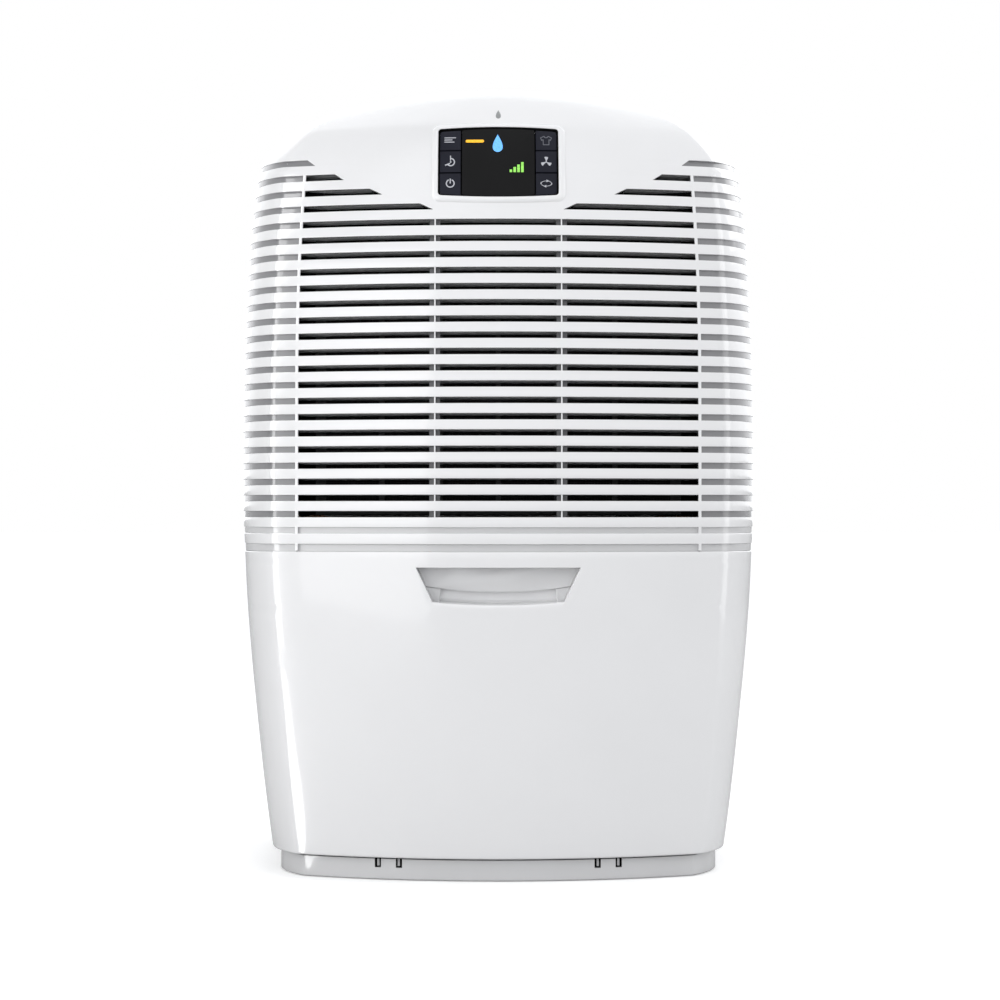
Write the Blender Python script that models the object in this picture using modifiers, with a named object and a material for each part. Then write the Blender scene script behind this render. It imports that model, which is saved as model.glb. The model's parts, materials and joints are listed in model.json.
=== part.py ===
"""Room dehumidifier with a pull-out front tank. Metres, +Z up, the front faces -Y.

Design lengths below are in millimetres and become metres in mm(). The casing is one smooth
barrel surface: a plan curve whose half-width and front and back setbacks change with height.
"""

import math

import bmesh
import bpy
from mathutils import Matrix, Vector

# ---------------------------------------------------------------- driving dimensions (mm)
HALF_D = 167.5  # half the depth at the widest height
CREST = 532.0  # top of the dome
HALF_WIDTH = [(0, 150.0), (17, 152.5), (26, 153.8), (66, 158.7), (107, 163.0), (147, 166.8),
              (188, 169.8), (215, 171.0), (242, 172.0), (290, 172.5), (337, 171.8), (364, 171.0),
              (391, 169.6), (418, 168.3), (431, 167.3), (453, 164.8), (469, 162.8), (475, 161.0),
              (480, 157.9), (485, 153.6), (490, 148.9), (495, 144.2), (500, 139.4), (505, 134.4),
              (509, 129.8), (513, 124.0), (517, 114.5), (521, 98.5), (525, 78.5), (529, 51.5),
              (531, 28.0), (532, 0.0)]
FRONT_SET = [(0, 8), (17, 6), (66, 3), (107, 1.5), (147, 0.6), (215, 0), (260, 0), (310, 1),
             (350, 3.5), (395, 7.5), (428, 12.5), (458, 20), (486, 33.5), (504, 49), (514, 61),
             (521, 75), (527.2, 104), (530.6, 135), (531.6, 152), (532, 167.5)]
BACK_SET = [(0, 8), (17, 6), (66, 3), (107, 1.5), (215, 0), (350, 1), (430, 6), (480, 18),
            (504, 36), (514, 50), (521, 68), (527.2, 101), (530.6, 134), (531.6, 152), (532, 167.5)]
PLAN_R = 355.0  # radius of the front face in plan
SEAM_Y = -50.0  # where the front shells meet the rear housing
WALL = 3.2
LOUVRE_T = 9.0  # depth of the louvre blades

SLOT_Z0 = 237.3  # lower edge of the lowest open slot (row 23)
SLOT_PITCH = 10.58
SLOT_H = 4.0
MULLION_X = [(200, 132.4), (340, 132.4), (390, 131.6), (460, 128.5), (480, 127.5)]
MULLION_W = 2.0
RIB_X, RIB_W = 42.0, 3.4
GROOVE_DEPTH = 1.8
GRILLE_Z0 = 215.4
LIP_Z = 219.7

TANK_FRONT_Z = (17.5, 214.9)
RECESS = dict(z_top=204.5, z_bottom=180.8, x_top=53.5, x_bottom=42.7, depth=24.0)

PLINTH_A, PLINTH_SET = 147.0, 11.0
PLINTH_Z = (1.0, 16.5)
NOTCH_X = (-78.8, -64.9, 64.9, 78.8)

PANEL_Z = (444.0, 495.4)
PANEL_HALF = 43.6
WINDOW_Z = (447.6, 492.2)
WINDOW_HALF = 38.9
BUTTON_X = (24.5, 38.5)
BUTTON_Z = ((448.4, 462.2), (463.2, 477.6), (478.6, 491.4))
BUTTON_TRAVEL = 0.8

FAN_Z, FAN_R = 338.0, 78.0
GAP = 0.3


# ---------------------------------------------------------------- numbers
def table(rows, z):
    """Monotone cubic through (z, value) rows."""
    if z <= rows[0][0]:
        return float(rows[0][1])
    if z >= rows[-1][0]:
        return float(rows[-1][1])
    n = len(rows)
    slopes = [(rows[i + 1][1] - rows[i][1]) / (rows[i + 1][0] - rows[i][0]) for i in range(n - 1)]
    k = max(i for i in range(n - 1) if rows[i][0] <= z)

    def tangent(i):
        if i == 0:
            return slopes[0]
        if i == n - 1:
            return slopes[-1]
        a, b = slopes[i - 1], slopes[i]
        return 0.0 if a * b <= 0 else 2 * a * b / (a + b)

    (z0, v0), (z1, v1) = rows[k], rows[k + 1]
    h = z1 - z0
    t = (z - z0) / h
    return ((2 * t ** 3 - 3 * t ** 2 + 1) * v0 + (t ** 3 - 2 * t ** 2 + t) * h * tangent(k)
            + (3 * t ** 2 - 2 * t ** 3) * v1 + (t ** 3 - t ** 2) * h * tangent(k + 1))


def bezier(p, q, r, s, t):
    return tuple((1 - t) ** 3 * a + 3 * t * (1 - t) ** 2 * b + 3 * t * t * (1 - t) * c + t ** 3 * d
                 for a, b, c, d in zip(p, q, r, s))


def arc_s(x, radius):
    return radius - math.sqrt(radius * radius - x * x)


def plan_half(front_x=(0, 26, 52, 78, 104, 122, 136), corner=(0, 0.3, 0.55, 0.8, 1),
              side=(106, 150, 205), back_corner=(0, 0.35, 0.7, 1), back_x=(105, 70, 35, 0)):
    """Half of the plan curve at the widest height, (x, depth behind the front)."""
    points = [(x, arc_s(x, PLAN_R)) for x in front_x]
    s0 = arc_s(150, PLAN_R)
    points += [bezier((150, s0), (155.4, s0 + 2.5), (172.5, s0 + 31), (172.5, s0 + 55), t) for t in corner]
    points += [(172.5, s) for s in side]
    points += [bezier((172.5, 262), (172.5, 296), (162, 322.4), (140, 324.1), t) for t in back_corner]
    points += [(x, 335 - arc_s(x, 900)) for x in back_x]
    return points


def unit_plan(half):
    """Closed loop of unit plan points, counter-clockwise seen from above, from the front centre."""
    right = [(x / 172.5, (s - HALF_D) / HALF_D) for x, s in half]
    left = [(-x, y) for x, y in right[-2:0:-1]]
    return right + left


PLAN = unit_plan(plan_half())
DENSE = unit_plan(plan_half(front_x=[i * 3.0 for i in range(50)], corner=[i / 16 for i in range(17)]))


def blend(point, z):
    """Rounded-square plan low down, easing to an ellipse at the crest."""
    w = min(max((z - 494) / 34, 0.0), 1.0)
    w = w * w * (3 - 2 * w)
    x, y = point
    phi = math.atan2(x, -y)
    return x * (1 - w) + math.sin(phi) * w, y * (1 - w) - math.cos(phi) * w


def section(z):
    a = table(HALF_WIDTH, z)
    front = -HALF_D + table(FRONT_SET, z)
    back = HALF_D - table(BACK_SET, z)
    return a, (front + back) / 2, (back - front) / 2


def ring_point(point, z):
    a, yc, d = section(z)
    x, y = blend(point, z)
    return Vector((a * x, yc + d * y, z))


def normals(points, z):
    """Outward normals at a ring of plan points."""
    lo, hi = max(z - 1.0, 0.5), min(z + 1.0, CREST - 0.1)
    count = len(points)
    found = []
    for i, point in enumerate(points):
        along = ring_point(points[(i + 1) % count], z) - ring_point(points[i - 1], z)
        up = ring_point(point, hi) - ring_point(point, lo)
        found.append(along.cross(up).normalized())
    return found


def front_point(x, z):
    """The point of the front surface at x and height z, and its outward normal."""
    def at(px, pz):
        a, yc, d = section(pz)
        best = [blend(p, pz) for p in DENSE[:66]]
        want = abs(px) / a
        for (xa, ya), (xb, yb) in zip(best, best[1:]):
            if xb >= want:
                t = 0.0 if xb == xa else (want - xa) / (xb - xa)
                return Vector((px, yc + d * (ya + t * (yb - ya)), pz))
        return Vector((px, yc + d * best[-1][1], pz))

    here = at(x, z)
    du = at(x + 1, z) - at(x - 1, z)
    dv = at(x, z + 1) - at(x, z - 1)
    return here, du.cross(dv).normalized()


def back_y(x, z):
    """Depth coordinate of the rear surface at x and height z."""
    a, yc, d = section(z)
    run = sorted(blend(p, z) for p in DENSE if p[0] >= 0 and p[1] > 0.6)
    want = abs(x) / a
    for (xa, ya), (xb, yb) in zip(run, run[1:]):
        if xb >= want:
            return yc + d * (ya + (yb - ya) * (want - xa) / (xb - xa))
    return yc + d * run[-1][1]


def mm(v):
    return Vector(v) * 0.001


# ---------------------------------------------------------------- scene and materials
for obj in list(bpy.data.objects):
    bpy.data.objects.remove(obj, do_unlink=True)

CUTTERS = bpy.data.collections.new("cutters")
bpy.context.scene.collection.children.link(CUTTERS)
CUTTERS.hide_render = True


def material(name, colour, rough, metallic=0.0, alpha=1.0):
    mat = bpy.data.materials.new(name)
    mat.use_nodes = True
    shader = mat.node_tree.nodes["Principled BSDF"]
    shader.inputs["Base Color"].default_value = (*colour, 1)
    shader.inputs["Roughness"].default_value = rough
    shader.inputs["Metallic"].default_value = metallic
    shader.inputs["Alpha"].default_value = alpha
    mat.diffuse_color = (*colour, alpha)
    return mat


MATS = {
    "white_abs": material("white_abs", (0.86, 0.86, 0.87), 0.18),
    "white_grille": material("white_grille", (0.86, 0.86, 0.87), 0.2),
    "grey_base": material("grey_base", (0.58, 0.58, 0.59), 0.4),
    "bezel_white": material("bezel_white", (0.88, 0.88, 0.89), 0.2),
    "button_black": material("button_black", (0.025, 0.028, 0.05), 0.25),
    "display_black": material("display_black", (0.02, 0.02, 0.022), 0.15),
    "black_plastic": material("black_plastic", (0.03, 0.03, 0.032), 0.5),
    "tank_clear": material("tank_clear", (0.75, 0.8, 0.86), 0.2, 0.0, 0.6),
    "grey_plastic": material("grey_plastic", (0.35, 0.35, 0.36), 0.5),
    "foam_white": material("foam_white", (0.85, 0.85, 0.83), 0.8),
    "rubber": material("rubber", (0.03, 0.03, 0.03), 0.8),
    "fins": material("fins", (0.75, 0.76, 0.78), 0.35, 1.0),
    "copper": material("copper", (0.72, 0.38, 0.22), 0.3, 1.0),
    "compressor_black": material("compressor_black", (0.03, 0.03, 0.035), 0.35),
    "steel": material("steel", (0.6, 0.6, 0.62), 0.35, 1.0),
    "galvanised": material("galvanised", (0.55, 0.57, 0.58), 0.45, 1.0),
    "pcb_green": material("pcb_green", (0.03, 0.2, 0.08), 0.5),
    "filter_grey": material("filter_grey", (0.16, 0.17, 0.18), 0.7),
    "cap_white": material("cap_white", (0.8, 0.8, 0.8), 0.5),
}


def named(name, mesh, slot, collection=None):
    obj = bpy.data.objects.new(name, mesh)
    (collection or bpy.context.scene.collection).objects.link(obj)
    if slot:
        mesh.materials.append(MATS[slot])
    return obj


def cutter(obj):
    for users in list(obj.users_collection):
        users.objects.unlink(obj)
    CUTTERS.objects.link(obj)
    obj.hide_render = True
    obj.display_type = "WIRE"
    return obj


def from_bmesh(name, bm, slot=None):
    bmesh.ops.recalc_face_normals(bm, faces=bm.faces[:])
    mesh = bpy.data.meshes.new(name)
    bm.to_mesh(mesh)
    bm.free()
    return named(name, mesh, slot)


# ---------------------------------------------------------------- building blocks
def add_rings(bm, rings, cap_start=True, cap_end=True, close=True):
    """Loft through rings of points (mm); rings may share a count. Used for unlike sections."""
    rows = [[bm.verts.new(mm(p)) for p in ring] for ring in rings]
    for low, high in zip(rows, rows[1:]):
        n = len(low)
        for i in range(n if close else n - 1):
            j = (i + 1) % n
            bm.faces.new((low[i], low[j], high[j], high[i]))
    if cap_start:
        bm.faces.new(rows[0][::-1])
    if cap_end:
        bm.faces.new(rows[-1])
    return rows


def box_into(bm, lo, hi):
    size = [h - l for l, h in zip(lo, hi)]
    centre = [(h + l) / 2 for l, h in zip(lo, hi)]
    matrix = Matrix.Translation(mm(centre)) @ Matrix.Diagonal((*[s * 0.001 for s in size], 1))
    return bmesh.ops.create_cube(bm, size=1.0, matrix=matrix)["verts"]


def box(name, lo, hi, slot=None, bevel=0.0, segments=1):
    bm = bmesh.new()
    box_into(bm, lo, hi)
    if bevel:
        bmesh.ops.bevel(bm, geom=bm.edges[:], offset=bevel * 0.001, segments=segments, affect="EDGES",
                        profile=0.5)
    return from_bmesh(name, bm, slot)


def boxes(name, spans, slot=None):
    bm = bmesh.new()
    for lo, hi in spans:
        box_into(bm, lo, hi)
    return from_bmesh(name, bm, slot)


AXES = {"X": Matrix.Rotation(math.pi / 2, 4, "Y"), "Y": Matrix.Rotation(-math.pi / 2, 4, "X"), "Z": Matrix()}


def cylinder(name, centre, radius, length, axis="Z", slot=None, sides=24, top=None):
    """A cylinder, or a cone when top is given, that starts at centre and runs along +axis."""
    bm = bmesh.new()
    bmesh.ops.create_cone(bm, cap_ends=True, segments=sides, radius1=radius * 0.001,
                          radius2=(radius if top is None else top) * 0.001, depth=length * 0.001,
                          matrix=Matrix.Translation(mm(centre)) @ AXES[axis]
                          @ Matrix.Translation((0, 0, length * 0.0005)))
    return from_bmesh(name, bm, slot)


def turned(name, centre, profile, axis="Z", slot=None, steps=24):
    """A turned piece: profile runs (radius, height) from the axis or as a closed loop, with a Screw."""
    mesh = bpy.data.meshes.new(name)
    closed = profile[0] == profile[-1]
    points = profile[:-1] if closed else profile
    edges = [(i, (i + 1) % len(points)) for i in range(len(points) if closed else len(points) - 1)]
    mesh.from_pydata([(r * 0.001, 0, h * 0.001) for r, h in points], edges, [])
    obj = named(name, mesh, slot)
    obj.matrix_world = Matrix.Translation(mm(centre)) @ AXES[axis]
    screw = obj.modifiers.new("Screw", "SCREW")
    screw.axis, screw.angle = "Z", math.tau
    screw.steps = screw.render_steps = steps
    screw.use_merge_vertices, screw.merge_threshold = True, 0.00001
    screw.use_smooth_shade = False
    return flatten(obj)


def flatten(obj):
    """The evaluated mesh, in world space, with coincident points joined and faces turned outward."""
    bpy.context.view_layer.update()
    graph = bpy.context.evaluated_depsgraph_get()
    evaluated = obj.evaluated_get(graph)
    bm = bmesh.new()
    mesh = evaluated.to_mesh()
    bm.from_mesh(mesh)
    evaluated.to_mesh_clear()
    bmesh.ops.transform(bm, matrix=obj.matrix_world, verts=bm.verts[:])
    bmesh.ops.remove_doubles(bm, verts=bm.verts[:], dist=1e-6)
    bmesh.ops.recalc_face_normals(bm, faces=bm.faces[:])
    name, mats = obj.name, [m for m in obj.data.materials]
    bpy.data.objects.remove(obj, do_unlink=True)
    new = bpy.data.meshes.new(name)
    bm.to_mesh(new)
    bm.free()
    for mat in mats:
        new.materials.append(mat)
    made = bpy.data.objects.new(name, new)
    bpy.context.scene.collection.objects.link(made)
    return made


def boolean(obj, other, operation):
    modifier = obj.modifiers.new(operation.title(), "BOOLEAN")
    modifier.operation, modifier.solver, modifier.object = operation, "EXACT", other
    made = flatten(obj)
    bpy.data.objects.remove(other, do_unlink=True)
    return made


def cut(obj, *others):
    for other in others:
        obj = boolean(obj, cutter(other), "DIFFERENCE")
    return obj


def join(obj, *others):
    for other in others:
        obj = boolean(obj, cutter(other), "UNION")
    return obj


def keep(obj, other):
    return boolean(obj, cutter(other), "INTERSECT")


def tube(name, points, radius, slot=None, resolution=1, per=3):
    """A pipe along a smooth curve through points."""
    pts = [Vector(p) for p in points]
    route = []
    for i in range(len(pts) - 1):
        p0, p1, p2, p3 = pts[max(i - 1, 0)], pts[i], pts[i + 1], pts[min(i + 2, len(pts) - 1)]
        for k in range(per):
            t = k / per
            route.append(0.5 * (2 * p1 + (p2 - p0) * t + (2 * p0 - 5 * p1 + 4 * p2 - p3) * t * t
                                + (3 * p1 - p0 - 3 * p2 + p3) * t ** 3))
    route.append(pts[-1])
    curve = bpy.data.curves.new(name, "CURVE")
    curve.dimensions = "3D"
    curve.bevel_depth, curve.bevel_resolution, curve.use_fill_caps = radius * 0.001, resolution, True
    spline = curve.splines.new("POLY")
    spline.points.add(len(route) - 1)
    for point, at in zip(spline.points, route):
        point.co = (*mm(at), 1)
    obj = bpy.data.objects.new(name, curve)
    bpy.context.scene.collection.objects.link(obj)
    if slot:
        curve.materials.append(MATS[slot])
    return flatten(obj)


# ---------------------------------------------------------------- casing shells
def casing(name, outer_levels, inner_levels, thickness, slot, dome=True):
    """A closed shell between the casing surface and a surface offset inward.

    outer_levels are (z, inset) pairs going up; inner_levels are heights; thickness(point, z)."""
    bm = bmesh.new()

    def ring(z, inset):
        return [ring_point(p, z) - n * inset(p, z) for p, n in zip(PLAN, normals(PLAN, z))]

    outer = [ring(z, lambda p, q, i=inset: i) for z, inset in outer_levels]
    inner = []
    for z in inner_levels:
        points = ring(z, thickness)
        if z == inner_levels[0]:
            for point in points:
                point.z = outer_levels[0][0]
        if not dome and z == inner_levels[-1]:
            for point in points:
                point.z = outer_levels[-1][0]
        inner.append(points)
    o = add_rings(bm, outer, cap_start=False, cap_end=False)
    i = add_rings(bm, inner, cap_start=False, cap_end=False)
    n = len(PLAN)
    for k in range(n):
        bm.faces.new((o[0][k], i[0][k], i[0][(k + 1) % n], o[0][(k + 1) % n]))
    if dome:
        for rows, z in ((o, CREST), (i, CREST - WALL)):
            pole = bm.verts.new(mm((0, 0, z)))
            for k in range(n):
                bm.faces.new((rows[-1][k], rows[-1][(k + 1) % n], pole))
    else:
        for k in range(n):
            bm.faces.new((o[-1][k], o[-1][(k + 1) % n], i[-1][(k + 1) % n], i[-1][k]))
    return from_bmesh(name, bm, slot)


DOME_LEVELS = [482, 490, 498, 506, 512, 517, 521, 525, 528, 530, 531.4]


def grille_thickness(point, z):
    if z < 231:
        return 6.5
    x = abs(point[0]) * 172.5
    deep = 1.0 if x < 123 else 0.0
    return WALL + (LOUVRE_T - WALL) * deep if z < 478 else WALL


def corner_band(bm, z, side):
    """The cutter of one blind groove: a band across the casing surface, round one front corner."""
    edge = table(MULLION_X, z) + MULLION_W / 2
    xs = [172.5 * p[0] for p in PLAN[:14]]
    plan = [p for p, x in zip(PLAN[:14], xs) if x * section(z)[0] / 172.5 > edge + 3]
    start = front_point(edge, z)
    rings = []
    for level in (z, z + SLOT_H):
        points = [start[0]] + [ring_point(p, level) for p in plan]
        turn = [start[1]] + [n for p, n in zip(PLAN, normals(PLAN, level)) if p in plan]
        ring = [p + n * 3 for p, n in zip(points, turn)] + [p - n * GROOVE_DEPTH for p, n in zip(points, turn)][::-1]
        ring = [Vector((q.x * side, q.y, level)) for q in ring]
        rings.append(ring)
    add_rings(bm, rings)


def row_z(k):
    return SLOT_Z0 + (23 - k) * SLOT_PITCH


def build_front_grille():
    shell = casing("front_grille",
                   [(GRILLE_Z0, 3.0), (LIP_Z, 3.0), (LIP_Z, 0.0)]
                   + [(z, 0.0) for z in (236, 262, 288, 314, 340, 366, 390, 412, 432, 450, 466) + tuple(DOME_LEVELS)],
                   [GRILLE_Z0, 230, 234, 290, 340, 390, 432, 470, 479] + DOME_LEVELS[1:], grille_thickness, "white_grille")
    spans = []
    for k in range(5, 24):
        z = row_z(k)
        x = table(MULLION_X, z) - MULLION_W / 2
        spans += [((-x, -190, z), (-RIB_X - RIB_W / 2, -100, z + SLOT_H)),
                  ((-RIB_X + RIB_W / 2, -190, z), (RIB_X - RIB_W / 2, -100, z + SLOT_H)),
                  ((RIB_X + RIB_W / 2, -190, z), (x, -100, z + SLOT_H))]
    shell = cut(shell, boxes("slots", spans))
    # Rows 2 to 4 end short of the panel on a slant.
    bm = bmesh.new()
    for k, top_x, tip_x in ((2, 108.0, 102.0), (3, 84.4, 76.3), (4, 51.3, 42.6 + 4.4)):
        z = row_z(k)
        x = table(MULLION_X, z) - MULLION_W / 2
        for side in (-1, 1):
            outline = [(tip_x, z), (x, z), (x, z + SLOT_H), (top_x, z + SLOT_H)]
            add_rings(bm, [[(side * px, y, pz) for px, pz in outline] for y in (-190, -85)])
    shell = cut(shell, from_bmesh("short_slots", bm))
    bm = bmesh.new()
    for k in range(1, 25):
        for side in (-1, 1):
            if k == 1:
                continue
            corner_band(bm, row_z(k), side)
    shell = cut(shell, from_bmesh("corner_grooves", bm))
    # Row 1 is a short groove with a slanted end; row 24 runs all the way round.
    z = row_z(1)
    for side in (-1, 1):
        bm = bmesh.new()
        plan = [p for p in PLAN[:14] if p[0] * section(z)[0] > 130]
        rings = []
        for level, x0 in ((z, 121.5), (z + SLOT_H, 126.8)):
            first = front_point(x0, level)
            points = [first[0]] + [ring_point(p, level) for p in plan]
            turn = [first[1]] + [n for p, n in zip(PLAN, normals(PLAN, level)) if p in plan]
            ring = [p + n * 3 for p, n in zip(points, turn)] + [p - n * GROOVE_DEPTH for p, n in zip(points, turn)][::-1]
            rings.append([Vector((q.x * side, q.y, level)) for q in ring])
        add_rings(bm, rings)
        shell = cut(shell, from_bmesh("top_groove", bm))
    z = row_z(24)
    bm = bmesh.new()
    rings = []
    for level in (z, z + SLOT_H):
        plan = [p for p in PLAN if p[1] < -0.42 and abs(p[0]) * section(z)[0] < 131]
        plan.sort(key=lambda p: p[0])
        points = [front_point(-133.0, level)[0]] + [ring_point(p, level) for p in plan] + [front_point(133.0, level)[0]]
        rings.append([p + Vector((0, -3, 0)) for p in points] + [p + Vector((0, GROOVE_DEPTH, 0)) for p in points][::-1])
    add_rings(bm, rings)
    shell = cut(shell, from_bmesh("front_groove", bm))
    shell = cut(shell, panel_block("panel_hole", PANEL_HALF, PANEL_Z, -30, 14))
    return keep(shell, box("front_half", (-200, -220, 190), (200, SEAM_Y - 0.15, 561)))


# ---------------------------------------------------------------- control panel
def panel_outline(x_half, z_range, bulge, corner, x_centre=0.0):
    """Rounded rectangle whose top and bottom edges bow outward by bulge, as (x, z) points."""
    lo, hi = z_range
    zc, zh = (lo + hi) / 2, (hi - lo) / 2
    points = []
    for sx, sz, start in ((1, -1, -90), (1, 1, 0), (-1, 1, 90), (-1, -1, 180)):
        for k in range(3):
            angle = math.radians(start + 45 * k)
            points.append((sx * (x_half - corner) + corner * math.cos(angle),
                           sz * (zh - corner) + corner * math.sin(angle)))
    points.insert(12, (-(x_half - corner) * 0.4, -zh))
    points.insert(13, ((x_half - corner) * 0.4, -zh))
    points.insert(6, ((x_half - corner) * 0.4, zh))
    points.insert(7, (-(x_half - corner) * 0.4, zh))
    out = []
    for x, z in points:
        lift = bulge * (1 - (x / x_half) ** 2) * (z / zh)
        out.append((x_centre + x, zc + z + lift))
    return out


def mapped(points, w):
    out = []
    for x, z in points:
        p, n = front_point(x, z)
        out.append(p + n * w)
    return out


def panel_block(name, x_half, z_range, w0, w1, slot=None, bulge=1.4, corner=5.0, x_centre=0.0):
    outline = panel_outline(x_half, z_range, bulge, corner, x_centre)
    bm = bmesh.new()
    add_rings(bm, [mapped(outline, w0), mapped(outline, w1)])
    return from_bmesh(name, bm, slot)


def build_panel():
    bezel = panel_block("control_bezel", PANEL_HALF - GAP, (PANEL_Z[0] + GAP, PANEL_Z[1] - GAP), -6, 1.6, "bezel_white",
                        corner=4.8)
    bezel = cut(bezel, panel_block("bezel_hole", WINDOW_HALF, WINDOW_Z, -9, 6, corner=1.2))
    panel_block("button_carrier", WINDOW_HALF - GAP, (WINDOW_Z[0] + GAP, WINDOW_Z[1] - GAP), -6, -3.6,
                "black_plastic", corner=1.1)
    panel_block("display_window", 23.9, (WINDOW_Z[0] + GAP, WINDOW_Z[1] - GAP), -3.2, 0.3, "display_black",
                corner=0.8)
    names = (("button_power", "button_timer", "button_mode"), ("button_swing", "button_fan_speed", "button_laundry"))
    for side, column in ((-1, names[0]), (1, names[1])):
        for (z0, z1), name in zip(BUTTON_Z, column):
            xc = side * (BUTTON_X[0] + BUTTON_X[1]) / 2
            bm = bmesh.new()
            half = (BUTTON_X[1] - BUTTON_X[0]) / 2
            outline = [(-half, z0), (half, z0), (half, z1), (-half, z1)]
            rows = []
            for w, shrink in ((-2.6, 0.0), (0.2, 0.0), (0.6, 0.5)):
                rows.append(mapped([(xc + x * (1 - shrink / half), (z0 + z1) / 2 + (z - (z0 + z1) / 2) * (1 - shrink / half))
                                    for x, z in outline], w))
            add_rings(bm, rows)
            button = from_bmesh(name, bm, "button_black")
            centre = mm(front_point(xc, (z0 + z1) / 2)[0])
            button.data.transform(Matrix.Translation(-centre))
            button.location = centre
    here, n = front_point(0, (WINDOW_Z[0] + WINDOW_Z[1]) / 2)
    pcb = box("control_board", (-37, -0.8, -21), (37, 0.8, 21), "pcb_green")
    lean = math.atan2(n.z, -n.y)
    pcb.data.transform(Matrix.Translation(mm(here - n * 15)) @ Matrix.Rotation(-lean, 4, "X"))


# ---------------------------------------------------------------- tank
def build_tank():
    z0, z1 = TANK_FRONT_Z
    front = casing("tank_front", [(z0, 0.8), (z0 + 1.2, 0)] + [(z, 0) for z in (45, 75, 110, 147, 182)] + [(z1 - 0.8, 0), (z1, 0.6)],
                   [z0, 60, 110, 160, z1], lambda p, z: WALL, "white_abs", dome=False)
    front = keep(front, box("front_half", (-200, -220, 0), (200, SEAM_Y - 0.15, 230)))
    r = RECESS

    def outline(grow):
        return [(-r["x_bottom"] - grow, r["z_bottom"] + 1.6 - grow), (-22, r["z_bottom"] - grow * 1.1), (22, r["z_bottom"] - grow * 1.1),
                (r["x_bottom"] + grow, r["z_bottom"] + 1.6 - grow), (r["x_top"] + grow, r["z_top"] + grow),
                (-r["x_top"] - grow, r["z_top"] + grow)]

    def block(name, grow, y_front, y_back):
        bm = bmesh.new()
        add_rings(bm, [[(x, y, z) for x, z in outline(grow)] for y in (y_front, y_back)])
        return from_bmesh(name, bm)

    y = -HALF_D
    front = join(front, block("pocket", 2.4, y + 2.9, y + r["depth"] + 2.4))
    front = cut(front, block("pocket_hole", 0.0, y - 10, y + r["depth"]))
    tank = box("water_tank", (-128, -124, 20), (128, -34, 170), "tank_clear", bevel=2.5)
    tank = cut(tank, box("tank_inside", (-125.6, -121.6, 22.4), (125.6, -36.4, 190), bevel=1.2))
    arm = box("float_bracket", (52.0, -56, 170.5), (124, -35, 173.0), "grey_plastic")
    join(arm, box("cheek", (52.2, -55, 150), (54.6, -41, 172)), box("cheek", (119.4, -55, 150), (121.8, -41, 172)))
    pivot = Vector((87, -48, 156))
    swing = cylinder("tank_float", (55.0, pivot.y, pivot.z), 3.5, 64, "X", "foam_white", 12)
    swing = join(swing, box("arm", (82, -70, 152.6), (92, -48, 156.4)), box("float_body", (60, -108, 122), (114, -68, 156.4), bevel=3))
    swing.data.transform(Matrix.Translation(-mm(pivot)))
    swing.location = mm(pivot)


# ---------------------------------------------------------------- rear housing and what is on it
OUTLET = dict(x=95.0, z=(290.0, 430.0))


def build_rear():
    shell = casing("rear_housing", [(z, 0) for z in (17.5, 45, 75, 110, 147, 182, 215, 250, 290, 340, 390, 432, 466) + tuple(DOME_LEVELS)],
                   [17.5, 75, 147, 215, 290, 340, 390, 432, 466] + DOME_LEVELS, lambda p, z: WALL, "white_abs")
    x, (z0, z1) = OUTLET["x"], OUTLET["z"]
    shell = join(shell, box("outlet_duct", (-x - 3, 148, z0 - 3), (x + 3, 159.5, z1 + 3)))
    shell = cut(shell, box("outlet_hole", (-x, 130, z0), (x, 190, z1)), box("handle_hole", (-55, 120, 452), (55, 190, 478)),
                cylinder("gland_hole", (-105, 140, 48), 7.3, 40, "Y"), cylinder("drain_hole", (95, 140, 232), 8.9, 40, "Y"))
    for sx, z in ((-1, 120), (1, 120), (-1, 262), (1, 262)):
        shell = cut(shell, cylinder("screw_hole", (sx * 118, 140, z), 2.3, 40, "Y", sides=12))
        turned(f"rear_screw_{'left' if sx < 0 else 'right'}_{'low' if z < 200 else 'high'}", (sx * 118, back_y(118, z) + 2.9, z),
               [(0, 1.8), (2.8, 1.8), (4, 0.8), (4, -2.2 + 0.4), (1.9, -1.8), (1.9, -14), (0, -15)], "Y", "steel", 12)
    keep(shell, box("rear_half", (-200, SEAM_Y + 0.15, 0), (200, 220, 560)))
    spans = [((-x + 7, 140, z0 + 7 + i * 11.6), (x - 7, 165, z0 + 13.2 + i * 11.6)) for i in range(11)]
    grille = box("outlet_grille", (-x + GAP, 150, z0 + GAP), (x - GAP, 153.5, z1 - GAP), "white_abs")
    cut(grille, boxes("outlet_slots", spans))
    cup = box("rear_handle_cup", (-54.7, 133, 452.3), (54.7, 154, 477.7), "grey_plastic")
    cut(cup, box("cup_hole", (-52.2, 135.5, 454.8), (52.2, 190, 475.2)))
    turned("mains_gland", (-105, back_y(105, 48) + 5.0, 48), [(3.4, 0), (9.5, 0), (9.5, -3.4), (7.0, -3.4), (7.0, -11), (9.0, -11), (9.0, -14), (3.4, -14), (3.4, 0)],
           "Y", "black_plastic", 20)
    wall_y = back_y(95, 232)
    turned("drain_spout", (95, wall_y - 1, 232), [(6.6, 0), (8.6, 0), (8.6, -28), (6.6, -28), (6.6, 0)], "Y", "grey_plastic", 20)
    cap = turned("drain_cap", (95, wall_y + 4.6, 232), [(0, 0), (10.2, 0), (11, -0.8), (11, -3), (6.2, -3), (6.2, -22), (0, -22)],
                 "Y", "cap_white", 20)
    cap.data.transform(Matrix.Translation(-mm((95, wall_y, 232))))
    cap.location = mm((95, wall_y, 232))


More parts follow.
